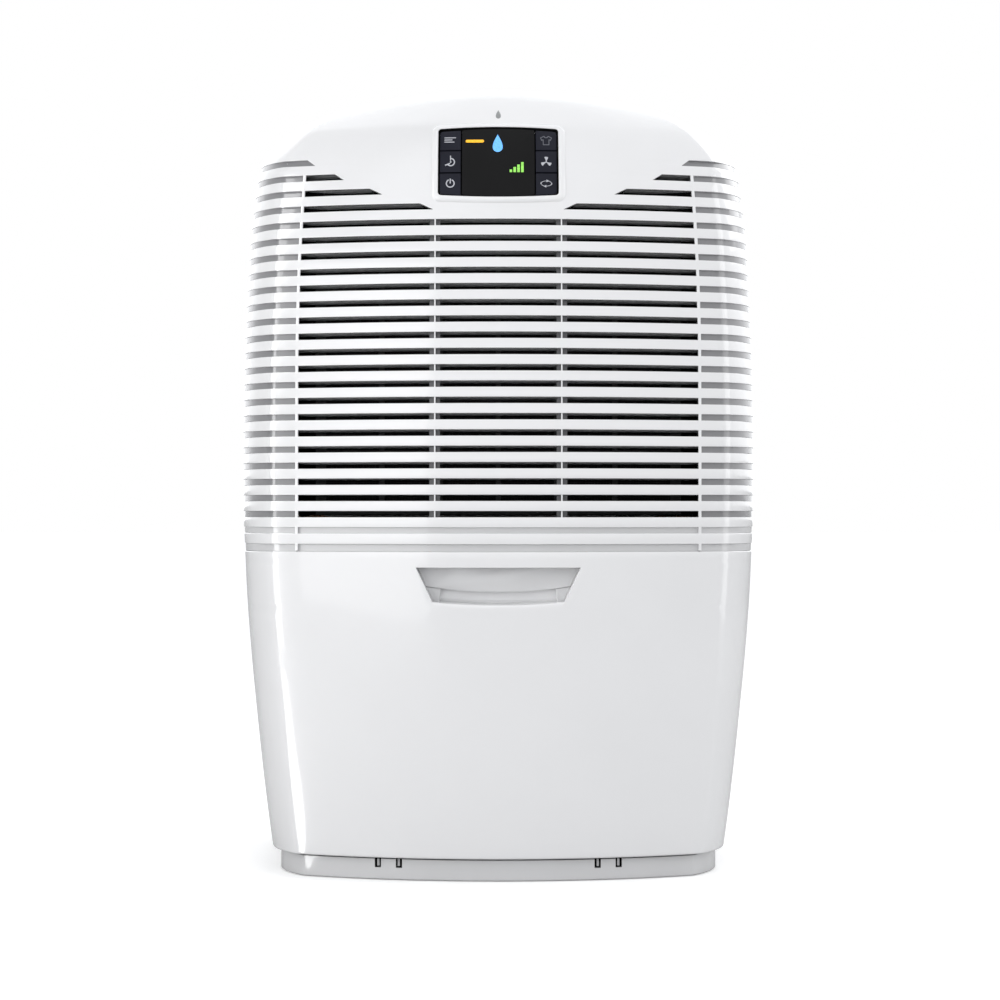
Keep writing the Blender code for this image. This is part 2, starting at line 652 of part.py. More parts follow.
# ---------------------------------------------------------------- base
def build_base():
    def ring(z, grow):
        a, d = PLINTH_A + grow, HALF_D - PLINTH_SET + grow
        return [Vector((a * x, d * y, z)) for x, y in PLAN]

    bm = bmesh.new()
    add_rings(bm, [ring(PLINTH_Z[0], -2.0), ring(PLINTH_Z[0] + 2.0, 0.0), ring(PLINTH_Z[1], 0.0)])
    base = from_bmesh("base_plinth", bm, "grey_base")
    base = cut(base, boxes("notches", [((x - 2, -175, 10.2), (x + 2, -143, 30)) for x in NOTCH_X]))
    for name, sx, sy in (("front_left", -1, -1), ("front_right", 1, -1), ("rear_left", -1, 1), ("rear_right", 1, 1)):
        at = (sx * 108, sy * 118)
        base = cut(base, cylinder("foot_pocket", (*at, -5), 12, 9.2, sides=20))
        cylinder(f"foot_{name}", (*at, 0), 10.6, 3.8, "Z", "rubber", 20, 11.6)


# ---------------------------------------------------------------- inside
def build_chassis():
    shelf = box("inner_chassis", (-146, -124, 208), (146, -19, 210.5), "grey_plastic")
    wall = box("bulkhead", (-143, -22, 17), (143, -19, 209))
    shelf = join(shelf, wall)
    cut(shelf, cylinder("drip_hole", (-60, -82, 190), 9, 40, "Z", sides=20))
    tray = box("drip_tray", (-128, -114, 222), (128, -48, 237), "grey_plastic")
    tray = cut(tray, box("tray_hole", (-125.6, -111.6, 224.4), (125.6, -50.4, 260)))
    tray = join(tray, cylinder("spout", (-60, -82, 196), 7.5, 27, "Z", sides=20))
    cut(tray, cylinder("spout_bore", (-60, -82, 180), 5.6, 60, "Z", sides=20))
    box("tank_switch", (-18, -28.5, 146), (4, -22.4, 164), "black_plastic", bevel=1)
    frame = box("air_filter", (-121, -121, 239), (121, -117.6, 428), "filter_grey")
    cells = []
    for i in range(6):
        for j in range(5):
            cells.append(((-114 + i * 38.6, -140, 245.5 + j * 35.8), (-79 + i * 38.6, -100, 278.3 + j * 35.8)))
    cut(frame, boxes("filter_windows", cells))
    box("humidity_sensor", (90, -101, 440), (108, -93, 458), "black_plastic", bevel=1)


def build_coil(name, y0, y1, hand):
    block = box(name, (-116, y0, 241), (116, y1, 429), "fins")
    grooves = [((-110.5 + i * 14.5, y0 - 5, 247), (-104.5 + i * 14.5, y0 + 3, 423)) for i in range(15)]
    block = cut(block, boxes("fin_gaps", grooves))
    yc = (y0 + y1) / 2
    for i in range(5):
        side, z = (1, -1)[i % 2] * hand, 258 + i * 31
        bend = [(side * x, yc, z + dz) for x, dz in ((110, 0), (117, 0.2), (124, 5), (127, 15.5), (124, 26), (117, 30.8), (110, 31))]
        block = join(block, tube("bend", bend, 4.0, resolution=1, per=1))
    for z in (258, 413):
        block = join(block, cylinder("end", (min(-108 * hand, -129 * hand), yc, z), 4.0, 21, "X", sides=10))
    return block


def build_fan():
    plate = box("fan_shroud", (-138, -38, 240), (138, -35, 440), "black_plastic")
    plate = cut(plate, cylinder("fan_opening", (0, -60, FAN_Z), FAN_R + 4, 60, "Y", sides=40))
    ring = turned("collar", (0, 0, FAN_Z), [(FAN_R + 3, -35.5), (FAN_R + 6, -35.5), (FAN_R + 6, -8), (FAN_R + 3, -8), (FAN_R + 3, -35.5)], "Y", None, 40)
    join(plate, ring)
    motor = turned("fan_motor", (0, 0, FAN_Z), [(0, 36), (30, 36), (36, 31), (36, 6), (31, 1), (11, 1), (11, -3), (0, -3)], "Y", "galvanised", 24)
    brace = box("motor_mount", (-112, 36.4, FAN_Z - 14), (112, 39, FAN_Z + 14), "steel")
    join(brace, box("leg", (-112, -34.6, FAN_Z - 14), (-109.4, 37, FAN_Z + 14)), box("leg", (109.4, -34.6, FAN_Z - 14), (112, 37, FAN_Z + 14)))
    hub = turned("fan_impeller", (0, 0, FAN_Z), [(0, -3.6), (5, -3.6), (5, -5), (22, -5), (22, -30), (18, -34), (0, -34)], "Y", "black_plastic", 20)
    for k in range(5):
        bm = bmesh.new()
        rings = []
        for r, pitch, chord in ((18, 50, 32), (35, 42, 42), (56, 34, 50), (76, 28, 52)):
            angle = math.radians(pitch)
            ring = []
            for u, v in ((-0.5, 0), (-0.17, 1.6), (0.17, 1.6), (0.5, 0), (0.17, -0.5), (-0.17, -0.5)):
                along, across = u * chord, v
                c = along * math.cos(angle) - across * math.sin(angle)
                y = along * math.sin(angle) * 0.5 + across * math.cos(angle) - 19
                phi = c / r + k * math.tau / 5
                ring.append((r * math.sin(phi), y, FAN_Z + r * math.cos(phi)))
            rings.append(ring)
        add_rings(bm, rings)
        hub = join(hub, from_bmesh("blade", bm))
    hub.data.transform(Matrix.Translation(-mm((0, -19, FAN_Z))))
    hub.location = mm((0, -19, FAN_Z))


def build_refrigeration():
    c = (-48, 66)
    can = turned("compressor", (*c, 0), [(0, 190), (22, 187), (44, 176), (56, 156), (57, 140), (59, 138), (59, 132), (57, 130),
                                         (57, 60), (50, 44), (30, 36), (0, 34)], "Z", "compressor_black", 28)
    can = join(can, box("side_feet", (c[0] - 66, c[1] - 9, 29), (c[0] + 66, c[1] + 9, 42)),
               box("front_foot", (c[0] - 8, c[1] - 66, 29), (c[0] + 8, c[1] + 2, 40)))
    for name, dx, dy in (("left", -58, 0), ("right", 58, 0), ("front", 0, -58)):
        turned(f"compressor_grommet_{name}", (c[0] + dx, c[1] + dy, 0),
               [(0, 28.6), (6, 28.6), (7.5, 26), (5.5, 23), (7.5, 20), (8.5, 16.9), (0, 16.9)], "Z", "rubber", 16)
    turned("suction_accumulator", (52, 34, 0), [(0, 168), (6, 168), (14, 162), (18, 154), (18, 82), (14, 74), (6, 68), (0, 68)], "Z", "compressor_black", 20)
    tube("suction_pipe", [(52, 34, 168.5), (52, 34, 196), (70, 34, 222), (120, 24, 236), (150, 0, 244), (153, -50, 250), (150, -90, 256), (131, -101, 258)], 4.0, "copper")
    tube("discharge_pipe", [(c[0], c[1], 191), (c[0], c[1], 206), (c[0] - 20, 60, 224), (-120, 40, 234), (-151, 10, 244), (-152, -40, 252), (-146, -64, 257), (-131, -69, 258)], 3.2, "copper")
    turned("filter_drier", (148, -88, 0), [(0, 384), (3, 384), (8, 376), (8, 334), (3, 326), (0, 326)], "Z", "copper", 16)
    tube("liquid_line", [(-131, -69, 413), (-138, -69, 418), (-140, -69, 430), (-130, -69, 438), (0, -69, 439), (130, -70, 438),
                         (144, -78, 426), (148, -88, 400), (148, -88, 384.8)], 2.5, "copper")
    tube("capillary_tube", [(148, -88, 325.2), (148, -90, 314), (153, -98, 310), (152, -106, 330), (150, -108, 380), (142, -105, 408),
                            (131, -101, 413)], 1.6, "copper")
    turned("run_capacitor", (88, 98, 0), [(0, 104), (4, 104), (4, 98), (18, 98), (18, 30), (0, 30)], "Z", "galvanised", 20)


build_base()
build_tank()
build_front_grille()
build_panel()
build_rear()
build_chassis()
build_coil("evaporator_coil", -112, -90, -1)
build_coil("condenser_coil", -80, -58, 1)
build_fan()
build_refrigeration()
for leftover in [o for o in CUTTERS.objects]:
    bpy.data.objects.remove(leftover, do_unlink=True)
for obj in bpy.context.scene.collection.objects:
    for polygon in obj.data.polygons:
        polygon.use_smooth = False
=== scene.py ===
"""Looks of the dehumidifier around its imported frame: smooth shells, louvres, panel and materials."""

import bisect
import json
import math

import bmesh
import bpy
from mathutils import Matrix, Vector


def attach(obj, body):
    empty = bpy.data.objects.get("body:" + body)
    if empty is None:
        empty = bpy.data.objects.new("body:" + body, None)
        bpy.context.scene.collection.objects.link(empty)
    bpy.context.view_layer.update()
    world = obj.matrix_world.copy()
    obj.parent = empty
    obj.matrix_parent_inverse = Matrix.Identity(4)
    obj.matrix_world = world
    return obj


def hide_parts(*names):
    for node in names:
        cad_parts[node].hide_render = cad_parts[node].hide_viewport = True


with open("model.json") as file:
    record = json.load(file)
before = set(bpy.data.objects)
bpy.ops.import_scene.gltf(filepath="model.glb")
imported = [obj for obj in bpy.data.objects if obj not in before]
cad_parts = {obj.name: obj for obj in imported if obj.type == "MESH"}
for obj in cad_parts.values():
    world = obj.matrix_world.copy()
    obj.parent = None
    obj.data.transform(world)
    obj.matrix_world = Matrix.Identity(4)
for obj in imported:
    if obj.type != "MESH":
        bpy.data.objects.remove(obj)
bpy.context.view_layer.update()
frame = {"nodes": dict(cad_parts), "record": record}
NODES = frame["nodes"]

# ---------------------------------------------------------------- casing surface (mm), as in the design
HALF_D, CREST, PLAN_R, SEAM_Y, WALL, LOUVRE_T = 167.5, 532.0, 355.0, -50.0, 3.2, 9.0
HALF_WIDTH = [(0, 150.0), (17, 152.5), (26, 153.8), (66, 158.7), (107, 163.0), (147, 166.8),
              (188, 169.8), (215, 171.0), (242, 172.0), (290, 172.5), (337, 171.8), (364, 171.0),
              (391, 169.6), (418, 168.3), (431, 167.3), (453, 164.8), (469, 162.8), (475, 161.0),
              (480, 157.9), (485, 153.6), (490, 148.9), (495, 144.2), (500, 139.4), (505, 134.4),
              (509, 129.8), (513, 124.0), (517, 114.5), (521, 98.5), (525, 78.5), (529, 51.5),
              (531, 28.0), (532, 0.0)]
FRONT_SET = [(0, 8), (17, 6), (66, 3), (107, 1.5), (147, 0.6), (215, 0), (260, 0), (310, 1),
             (350, 3.5), (395, 7.5), (428, 12.5), (458, 20), (486, 33.5), (504, 49), (514, 61),
             (521, 75), (527.2, 104), (530.6, 135), (531.6, 152), (532, 167.5)]
BACK_SET = [(0, 8), (17, 6), (66, 3), (107, 1.5), (215, 0), (350, 1), (430, 6), (480, 18),
            (504, 36), (514, 50), (521, 68), (527.2, 101), (530.6, 134), (531.6, 152), (532, 167.5)]
SLOT_Z0, SLOT_PITCH, SLOT_H = 237.3, 10.58, 4.0
GRILLE_Z0, LIP_Z = 215.4, 219.7
TANK_Z0, TANK_Z1 = 15.0, 214.9
MULLION_X = [(200, 132.4), (340, 132.4), (390, 131.6), (460, 128.5), (480, 127.5)]
SLANT = {1: (121.5, 126.8), 2: (102.0, 108.0), 3: (76.3, 84.4), 4: (42.8, 51.3)}
PANEL_HALF, PANEL_Z = 44.0, (443.6, 496.3)
WINDOW_HALF, WINDOW_Z = 39.4, (447.6, 492.9)


def table(rows, z):
    if z <= rows[0][0]:
        return float(rows[0][1])
    if z >= rows[-1][0]:
        return float(rows[-1][1])
    k = 0
    while rows[k + 1][0] < z:
        k += 1
    n = len(rows)

    def slope(i):
        return (rows[i + 1][1] - rows[i][1]) / (rows[i + 1][0] - rows[i][0])

    def tangent(i):
        if i == 0:
            return slope(0)
        if i == n - 1:
            return slope(n - 2)
        a, b = slope(i - 1), slope(i)
        return 0.0 if a * b <= 0 else 2 * a * b / (a + b)

    (z0, v0), (z1, v1) = rows[k], rows[k + 1]
    h = z1 - z0
    t = (z - z0) / h
    return ((2 * t ** 3 - 3 * t ** 2 + 1) * v0 + (t ** 3 - 2 * t ** 2 + t) * h * tangent(k)
            + (3 * t ** 2 - 2 * t ** 3) * v1 + (t ** 3 - t ** 2) * h * tangent(k + 1))


def bezier(p, q, r, s, t):
    return tuple((1 - t) ** 3 * a + 3 * t * (1 - t) ** 2 * b + 3 * t * t * (1 - t) * c + t ** 3 * d
                 for a, b, c, d in zip(p, q, r, s))


def arc_s(x, radius):
    return radius - math.sqrt(radius * radius - x * x)


def plan_half():
    points = [(x, arc_s(x, PLAN_R)) for x in (i * 3.0 for i in range(50))]
    s0 = arc_s(150, PLAN_R)
    points += [bezier((150, s0), (155.4, s0 + 2.5), (172.5, s0 + 31), (172.5, s0 + 55), i / 28) for i in range(29)]
    points += [(172.5, s0 + 55 + (262 - s0 - 55) * i / 30) for i in range(1, 30)]
    points += [bezier((172.5, 262), (172.5, 296), (162, 322.4), (140, 324.1), i / 20) for i in range(21)]
    points += [(140 - i * 4.0, 335 - arc_s(140 - i * 4.0, 900)) for i in range(1, 36)]
    return [(x / 172.5, (s - HALF_D) / HALF_D) for x, s in points]


UNIT = plan_half()


def smooth01(t):
    t = min(max(t, 0.0), 1.0)
    return t * t * (3 - 2 * t)


def curve_table(rows, z, tables={}):
    """The table's value, eased once more over 6 mm so that no reflection shows its knots."""
    key = (id(rows), round(z, 3))
    if key not in tables:
        if 24 < z < 519:
            tables[key] = sum(table(rows, z + d) * w for d, w in ((-4, 1), (-2, 2), (0, 3), (2, 2), (4, 1))) / 9
        else:
            tables[key] = table(rows, z)
    return tables[key]


class Slice:
    """The plan curve at one height, right half, from the front centre to the back centre."""

    made = {}

    def __init__(self, z):
        self.z = z
        a = curve_table(HALF_WIDTH, z)
        front = -HALF_D + curve_table(FRONT_SET, z)
        back = HALF_D - curve_table(BACK_SET, z)
        yc, d = (front + back) / 2, (back - front) / 2
        w = smooth01((z - 494) / 34)
        self.points = []
        for x, y in UNIT:
            phi = math.atan2(x, -y)
            self.points.append((a * (x * (1 - w) + math.sin(phi) * w), yc + d * (y * (1 - w) - math.cos(phi) * w)))
        self.s = [0.0]
        for (xa, ya), (xb, yb) in zip(self.points, self.points[1:]):
            self.s.append(self.s[-1] + math.hypot(xb - xa, yb - ya))

    @classmethod
    def at(cls, z):
        key = round(z, 4)
        if key not in cls.made:
            cls.made[key] = cls(z)
        return cls.made[key]

    def of_x(self, x):
        """Arc length at which the front half reaches x."""
        i = next((k for k, p in enumerate(self.points) if p[0] >= x), 60)
        i = max(i, 1)
        (xa, _), (xb, _) = self.points[i - 1], self.points[i]
        t = 0.0 if xb == xa else (x - xa) / (xb - xa)
        return self.s[i - 1] + t * (self.s[i] - self.s[i - 1])

    def of_seam(self, y=SEAM_Y - 0.15):
        for i in range(1, len(self.points)):
            ya, yb = self.points[i - 1][1], self.points[i][1]
            if ya <= y <= yb and yb > ya:
                return self.s[i - 1] + (y - ya) / (yb - ya) * (self.s[i] - self.s[i - 1])
        return 0.0

    def point(self, s):
        i = min(max(bisect.bisect_left(self.s, s), 1), len(self.s) - 1)
        t = (s - self.s[i - 1]) / (self.s[i] - self.s[i - 1])
        (xa, ya), (xb, yb) = self.points[i - 1], self.points[i]
        return Vector((xa + t * (xb - xa), ya + t * (yb - ya), self.z))

    def across(self, s):
        """Horizontal outward normal."""
        lo, hi = self.point(max(s - 1.5, 0)), self.point(min(s + 1.5, self.s[-1]))
        d = hi - lo
        if s < 1.5:
            return Vector((d.y * (s / 1.5), -1, 0)).normalized() if s > 0 else Vector((0, -1, 0))
        return Vector((d.y, -d.x, 0)).normalized()


def full_normal(z, s):
    """Outward normal of the casing at height z, arc length s."""
    here = Slice.at(z)
    flat = here.across(s)
    up, down = Slice.at(min(z + 0.8, CREST - 0.05)), Slice.at(max(z - 0.8, 0.5))
    ratio = s / here.s[-1]
    d = up.point(ratio * up.s[-1]) - down.point(ratio * down.s[-1])
    slope = -(d.dot(flat)) / max(d.z, 1e-6)
    return Vector((flat.x, flat.y, slope)).normalized()


def front_at(x, z):
    """Point and outward normal of the front surface at x and height z (mm)."""
    sl = Slice.at(round(z, 2))
    s = sl.of_x(abs(x))
    p, n = sl.point(s), full_normal(round(z, 2), s)
    sign = -1 if x < 0 else 1
    return Vector((x, p.y, z)), Vector((n.x * sign, n.y, n.z))


def back_y(x, z):
    sl = Slice.at(z)
    run = [p for p in sl.points if p[1] > 60][::-1]
    for (xa, ya), (xb, yb) in zip(run, run[1:]):
        if xb >= abs(x):
            return ya + (yb - ya) * (abs(x) - xa) / (xb - xa)
    return run[-1][1]


# ---------------------------------------------------------------- materials
MATS = {}


def new_material(name):
    mat = bpy.data.materials.new(name)
    mat.use_nodes = True
    MATS[name] = mat
    return mat, mat.node_tree, mat.node_tree.nodes["Principled BSDF"]


def link_noise(tree, scale, detail=2.0, rough=0.5):
    coord = tree.nodes.new("ShaderNodeTexCoord")
    noise = tree.nodes.new("ShaderNodeTexNoise")
    noise.inputs["Scale"].default_value = scale
    noise.inputs["Detail"].default_value = detail
    noise.inputs["Roughness"].default_value = rough
    tree.links.new(coord.outputs["Object"], noise.inputs["Vector"])
    return noise


def ramp(tree, source, stops):
    node = tree.nodes.new("ShaderNodeValToRGB")
    elements = node.color_ramp.elements
    while len(elements) < len(stops):
        elements.new(0.5)
    for element, (at, colour) in zip(elements, stops):
        element.position = at
        element.color = (*colour, 1) if len(colour) == 3 else colour
    tree.links.new(source, node.inputs["Fac"])
    return node


def bump(tree, shader, source, strength, distance=0.0002):
    node = tree.nodes.new("ShaderNodeBump")
    node.inputs["Strength"].default_value = strength
    node.inputs["Distance"].default_value = distance
    tree.links.new(source, node.inputs["Height"])
    tree.links.new(node.outputs["Normal"], shader.inputs["Normal"])
    return node


def worn_edges(tree, shader, tone, amount, radius=0.0006):
    """Rubs the colour a little lighter where the surface turns over an edge."""
    soft, geometry = tree.nodes.new("ShaderNodeBevel"), tree.nodes.new("ShaderNodeNewGeometry")
    soft.samples = 4
    soft.inputs["Radius"].default_value = radius
    dot = tree.nodes.new("ShaderNodeVectorMath")
    dot.operation = "DOT_PRODUCT"
    tree.links.new(soft.outputs["Normal"], dot.inputs[0])
    tree.links.new(geometry.outputs["Normal"], dot.inputs[1])
    edge = ramp(tree, dot.outputs["Value"], [(0.90, (amount,) * 3), (0.995, (0.0,) * 3)])
    lift = tree.nodes.new("ShaderNodeMix")
    lift.data_type = "RGBA"
    tree.links.new(edge.outputs["Color"], lift.inputs["Factor"])
    tree.links.new(tone.outputs["Color"], lift.inputs["A"])
    lift.inputs["B"].default_value = (0.75, 0.75, 0.76, 1)
    tree.links.new(lift.outputs["Result"], shader.inputs["Base Color"])


def plastic(name, colour, rough, grain=900, grain_strength=0.05, coat=0.0, vary=0.02, spec=0.5, mottle=14, ior=1.5, sss=0.0,
            worn=0.0):
    """Moulded plastic: slow colour and gloss variation and a fine moulded grain."""
    mat, tree, shader = new_material(name)
    slow = link_noise(tree, mottle, 3)
    low = tuple(max(c * (1 - vary), 0) for c in colour)
    high = tuple(min(c * (1 + vary * 0.5), 1) for c in colour)
    tone = ramp(tree, slow.outputs["Fac"], [(0.3, low), (0.7, high)])
    tree.links.new(tone.outputs["Color"], shader.inputs["Base Color"])
    gloss = link_noise(tree, mottle * 4, 4)
    spread = ramp(tree, gloss.outputs["Fac"], [(0.3, (rough * 0.9,) * 3), (0.75, (min(rough * 1.15, 1),) * 3)])
    tree.links.new(spread.outputs["Color"], shader.inputs["Roughness"])
    fine = link_noise(tree, grain, 2)
    bump(tree, shader, fine.outputs["Fac"], grain_strength)
    shader.inputs["Specular IOR Level"].default_value = spec
    shader.inputs["IOR"].default_value = ior
    shader.inputs["Coat Weight"].default_value = coat
    shader.inputs["Coat Roughness"].default_value = 0.035
    if worn:
        worn_edges(tree, shader, tone, worn)
    if sss:
        shader.inputs["Subsurface Weight"].default_value = sss
        shader.inputs["Subsurface Radius"].default_value = (0.004, 0.004, 0.0038)
    return mat


def metal(name, colour, rough, stretch=(1, 1, 60), scale=40, strength=0.08):
    mat, tree, shader = new_material(name)
    coord = tree.nodes.new("ShaderNodeTexCoord")
    mapping = tree.nodes.new("ShaderNodeMapping")
    mapping.inputs["Scale"].default_value = stretch
    tree.links.new(coord.outputs["Object"], mapping.inputs["Vector"])
    noise = tree.nodes.new("ShaderNodeTexNoise")
    noise.inputs["Scale"].default_value = scale
    noise.inputs["Detail"].default_value = 4
    tree.links.new(mapping.outputs["Vector"], noise.inputs["Vector"])
    tone = ramp(tree, noise.outputs["Fac"], [(0.25, tuple(c * 0.82 for c in colour)), (0.75, colour)])
    tree.links.new(tone.outputs["Color"], shader.inputs["Base Color"])
    spread = ramp(tree, noise.outputs["Fac"], [(0.2, (rough * 0.75,) * 3), (0.8, (min(rough * 1.3, 1),) * 3)])
    tree.links.new(spread.outputs["Color"], shader.inputs["Roughness"])
    bump(tree, shader, noise.outputs["Fac"], strength)
    shader.inputs["Metallic"].default_value = 1.0
    worn_edges(tree, shader, tone, 0.25, 0.0004)
    return mat


def glow(name, colour, strength, dark=0.25):
    """A lit display segment: a fine dot lattice over the lit colour."""
    mat, tree, shader = new_material(name)
    noise = link_noise(tree, 700, 1)
    tone = ramp(tree, noise.outputs["Fac"], [(0.2, tuple(c * (1 - dark) for c in colour)), (0.6, colour)])
    tree.links.new(tone.outputs["Color"], shader.inputs["Base Color"])
    tree.links.new(tone.outputs["Color"], shader.inputs["Emission Color"])
    shader.inputs["Emission Strength"].default_value = strength
    shader.inputs["Roughness"].default_value = 0.3
    return mat


plastic("white_abs", (0.85, 0.85, 0.855), 0.16, coat=1.0, vary=0.012, grain=1500, grain_strength=0.012)
plastic("white_grille", (0.85, 0.85, 0.855), 0.16, coat=1.0, vary=0.012, grain=1500, grain_strength=0.012)
plastic("bezel_white", (0.88, 0.88, 0.885), 0.16, coat=0.8, vary=0.01, grain=1500, grain_strength=0.015)
# Painted shade: grey for the floors of the blind side grooves.
plastic("liner_grey", (0.235, 0.235, 0.242), 0.2, coat=0.8, vary=0.03, grain=1500, grain_strength=0.02)
# Painted shade: a greyed white for the louvre undersides inside the slots.
plastic("roof_grey", (0.72, 0.72, 0.73), 0.45, vary=0.05, grain=1500, grain_strength=0.02, spec=0.2)
# Painted shade: a darker copy of the white plastic for the inside of the finger recess.
plastic("recess_white", (0.72, 0.72, 0.725), 0.2, coat=0.8, vary=0.015, grain=1500, grain_strength=0.012)
# Painted shade: near black for the slot openings beside the vertical rib.
plastic("liner_dark", (0.10, 0.10, 0.105), 0.3, vary=0.05, grain=1500, grain_strength=0.02)
plastic("icon_dim", (0.14, 0.145, 0.17), 0.5, grain=2500, grain_strength=0.05, vary=0.08, mottle=300)
# Painted shade, paler: for the two shallow lowest grooves.
plastic("liner_pale", (0.62, 0.62, 0.625), 0.2, coat=0.8, vary=0.02, grain=1500, grain_strength=0.02)
plastic("grey_base", (0.66, 0.66, 0.665), 0.2, coat=0.9, vary=0.03, grain=1200, grain_strength=0.04)
plastic("button_black", (0.012, 0.013, 0.022), 0.4, spec=0.18, grain=1600, grain_strength=0.04, vary=0.12, mottle=60)
plastic("display_black", (0.0075, 0.0075, 0.0078), 0.18, spec=0.12, grain=1600, grain_strength=0.01, vary=0.1, mottle=60)
plastic("black_plastic", (0.022, 0.022, 0.024), 0.5, grain=1200, grain_strength=0.12, vary=0.2, mottle=30, worn=0.08)
plastic("void_black", (0.004, 0.004, 0.004), 0.9, grain=900, grain_strength=0.1, vary=0.3, spec=0.1)
plastic("icon_grey", (0.52, 0.53, 0.57), 0.5, grain=2500, grain_strength=0.05, vary=0.08, mottle=300)
plastic("mark_grey", (0.30, 0.31, 0.31), 0.5, grain=2500, grain_strength=0.05, vary=0.08, mottle=300)
plastic("grey_plastic", (0.30, 0.30, 0.31), 0.5, grain=1100, grain_strength=0.12, vary=0.08, mottle=25, worn=0.22)
plastic("foam_white", (0.78, 0.78, 0.75), 0.85, grain=420, grain_strength=0.5, vary=0.06, mottle=120)
plastic("rubber", (0.02, 0.02, 0.02), 0.8, grain=900, grain_strength=0.25, vary=0.25, mottle=60, spec=0.3)
plastic("pcb_green", (0.02, 0.14, 0.055), 0.42, grain=700, grain_strength=0.1, vary=0.25, mottle=180)
plastic("filter_grey", (0.025, 0.026, 0.028), 0.75, grain=700, grain_strength=0.3, vary=0.2, mottle=60)
plastic("cap_white", (0.74, 0.74, 0.73), 0.45, grain=1200, grain_strength=0.08, vary=0.04)
plastic("compressor_black", (0.018, 0.018, 0.02), 0.3, grain=260, grain_strength=0.12, vary=0.2, coat=0.3)
metal("fins", (0.78, 0.79, 0.81), 0.34, stretch=(1, 1, 40))
metal("copper", (0.78, 0.40, 0.24), 0.28, stretch=(4, 4, 4), scale=30)
metal("steel", (0.58, 0.58, 0.60), 0.32, stretch=(20, 1, 1))
metal("galvanised", (0.55, 0.57, 0.58), 0.42, stretch=(1, 1, 1), scale=120)
glow("lit_amber", (0.90, 0.45, 0.02), 0.6)
glow("lit_blue", (0.13, 0.42, 0.90), 0.6)
glow("lit_green", (0.26, 0.66, 0.10), 0.55)

clear, tree, shader = new_material("tank_clear")
tint = link_noise(tree, 20, 3)
tone = ramp(tree, tint.outputs["Fac"], [(0.3, (0.72, 0.78, 0.84)), (0.7, (0.80, 0.85, 0.90))])
tree.links.new(tone.outputs["Color"], shader.inputs["Base Color"])
frost = link_noise(tree, 900, 2)
bump(tree, shader, frost.outputs["Fac"], 0.12)
shader.inputs["Roughness"].default_value = 0.28
shader.inputs["Transmission Weight"].default_value = 0.6
shader.inputs["IOR"].default_value = 1.45

# ---------------------------------------------------------------- mesh helpers


def make(name, verts, faces, mat, body="casing", replaces=(), angle=38, weighted=True, smooth=True):
    mesh = bpy.data.meshes.new(name)
    mesh.from_pydata([tuple(c * 0.001 for c in v) for v in verts], [], faces)
    mesh.validate()
    bm = bmesh.new()
    bm.from_mesh(mesh)
    loose = [v for v in bm.verts if not v.link_faces]
    bmesh.ops.delete(bm, geom=loose, context="VERTS")
    bmesh.ops.recalc_face_normals(bm, faces=bm.faces[:])
    bm.to_mesh(mesh)
    bm.free()
    return place(name, mesh, mat, body, replaces, angle, weighted, smooth)


def place(name, mesh, mat, body="casing", replaces=(), angle=38, weighted=True, smooth=True):
    obj = bpy.data.objects.new(name, mesh)
    bpy.context.scene.collection.objects.link(obj)
    mesh.materials.clear()
    mesh.materials.append(MATS[mat])
    if smooth:
        for polygon in mesh.polygons:
            polygon.use_smooth = True
        mesh.set_sharp_from_angle(angle=math.radians(angle))
    if weighted:
        mod = obj.modifiers.new("weighted", "WEIGHTED_NORMAL")
        mod.keep_sharp = True
    if body:
        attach(obj, body)
    if replaces:
        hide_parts(*replaces)
    return obj


def ring_faces(a, b, n, close=True):
    return [(a + i, a + (i + 1) % n, b + (i + 1) % n, b + i) for i in range(n if close else n - 1)]


def stack(rings, cap_start=True, cap_end=True, fan=False):
    """Rings of equal count to (verts, faces)."""
    verts, faces, n = [], [], len(rings[0])
    for ring in rings:
        verts += ring
    for k in range(len(rings) - 1):
        faces += ring_faces(k * n, (k + 1) * n, n)
    if cap_start:
        faces.append(tuple(range(n))[::-1])
    if cap_end:
        base = (len(rings) - 1) * n
        if fan:
            centre = sum((Vector(v) for v in rings[-1]), Vector()) / n
            verts.append(centre)
            faces += [(base + i, base + (i + 1) % n, len(verts) - 1) for i in range(n)]
        else:
            faces.append(tuple(base + i for i in range(n)))
    return verts, faces


def lathe(name, centre, profile, axis, mat, body="casing", replaces=(), steps=72, angle=32):
    """A turned piece from (radius, height) points; a closed profile repeats its first point."""
    closed = profile[0] == profile[-1]
    points = profile[:-1] if closed else profile
    rot = {"Z": Matrix(), "Y": Matrix.Rotation(-math.pi / 2, 3, "X"), "X": Matrix.Rotation(math.pi / 2, 3, "Y")}[axis]
    if axis == "Z":
        rot = Matrix.Identity(3)
    verts, rows = [], []
    for r, h in points:
        if r < 1e-6:
            rows.append([len(verts)] * steps)
            verts.append(Vector(centre) + rot @ Vector((0, 0, h)))
        else:
            rows.append([len(verts) + i for i in range(steps)])
            verts += [Vector(centre) + rot @ Vector((r * math.cos(math.tau * i / steps), r * math.sin(math.tau * i / steps), h))
                      for i in range(steps)]
    faces = []
    pairs = list(zip(rows, rows[1:])) + ([(rows[-1], rows[0])] if closed else [])
    for a, b in pairs:
        for i in range(steps):
            face = []
            for v in (a[i], a[(i + 1) % steps], b[(i + 1) % steps], b[i]):
                if v not in face:
                    face.append(v)
            if len(face) > 2:
                faces.append(tuple(face))
    return make(name, verts, faces, mat, body, replaces, angle)


def smooth_route(points, per=6):
    pts = [Vector(p) for p in points]
    route = []
    for i in range(len(pts) - 1):
        p0, p1, p2, p3 = pts[max(i - 1, 0)], pts[i], pts[i + 1], pts[min(i + 2, len(pts) - 1)]
        for k in range(per):
            t = k / per
            route.append(0.5 * (2 * p1 + (p2 - p0) * t + (2 * p0 - 5 * p1 + 4 * p2 - p3) * t * t
                                + (3 * p1 - p0 - 3 * p2 + p3) * t ** 3))
    return route + [pts[-1]]


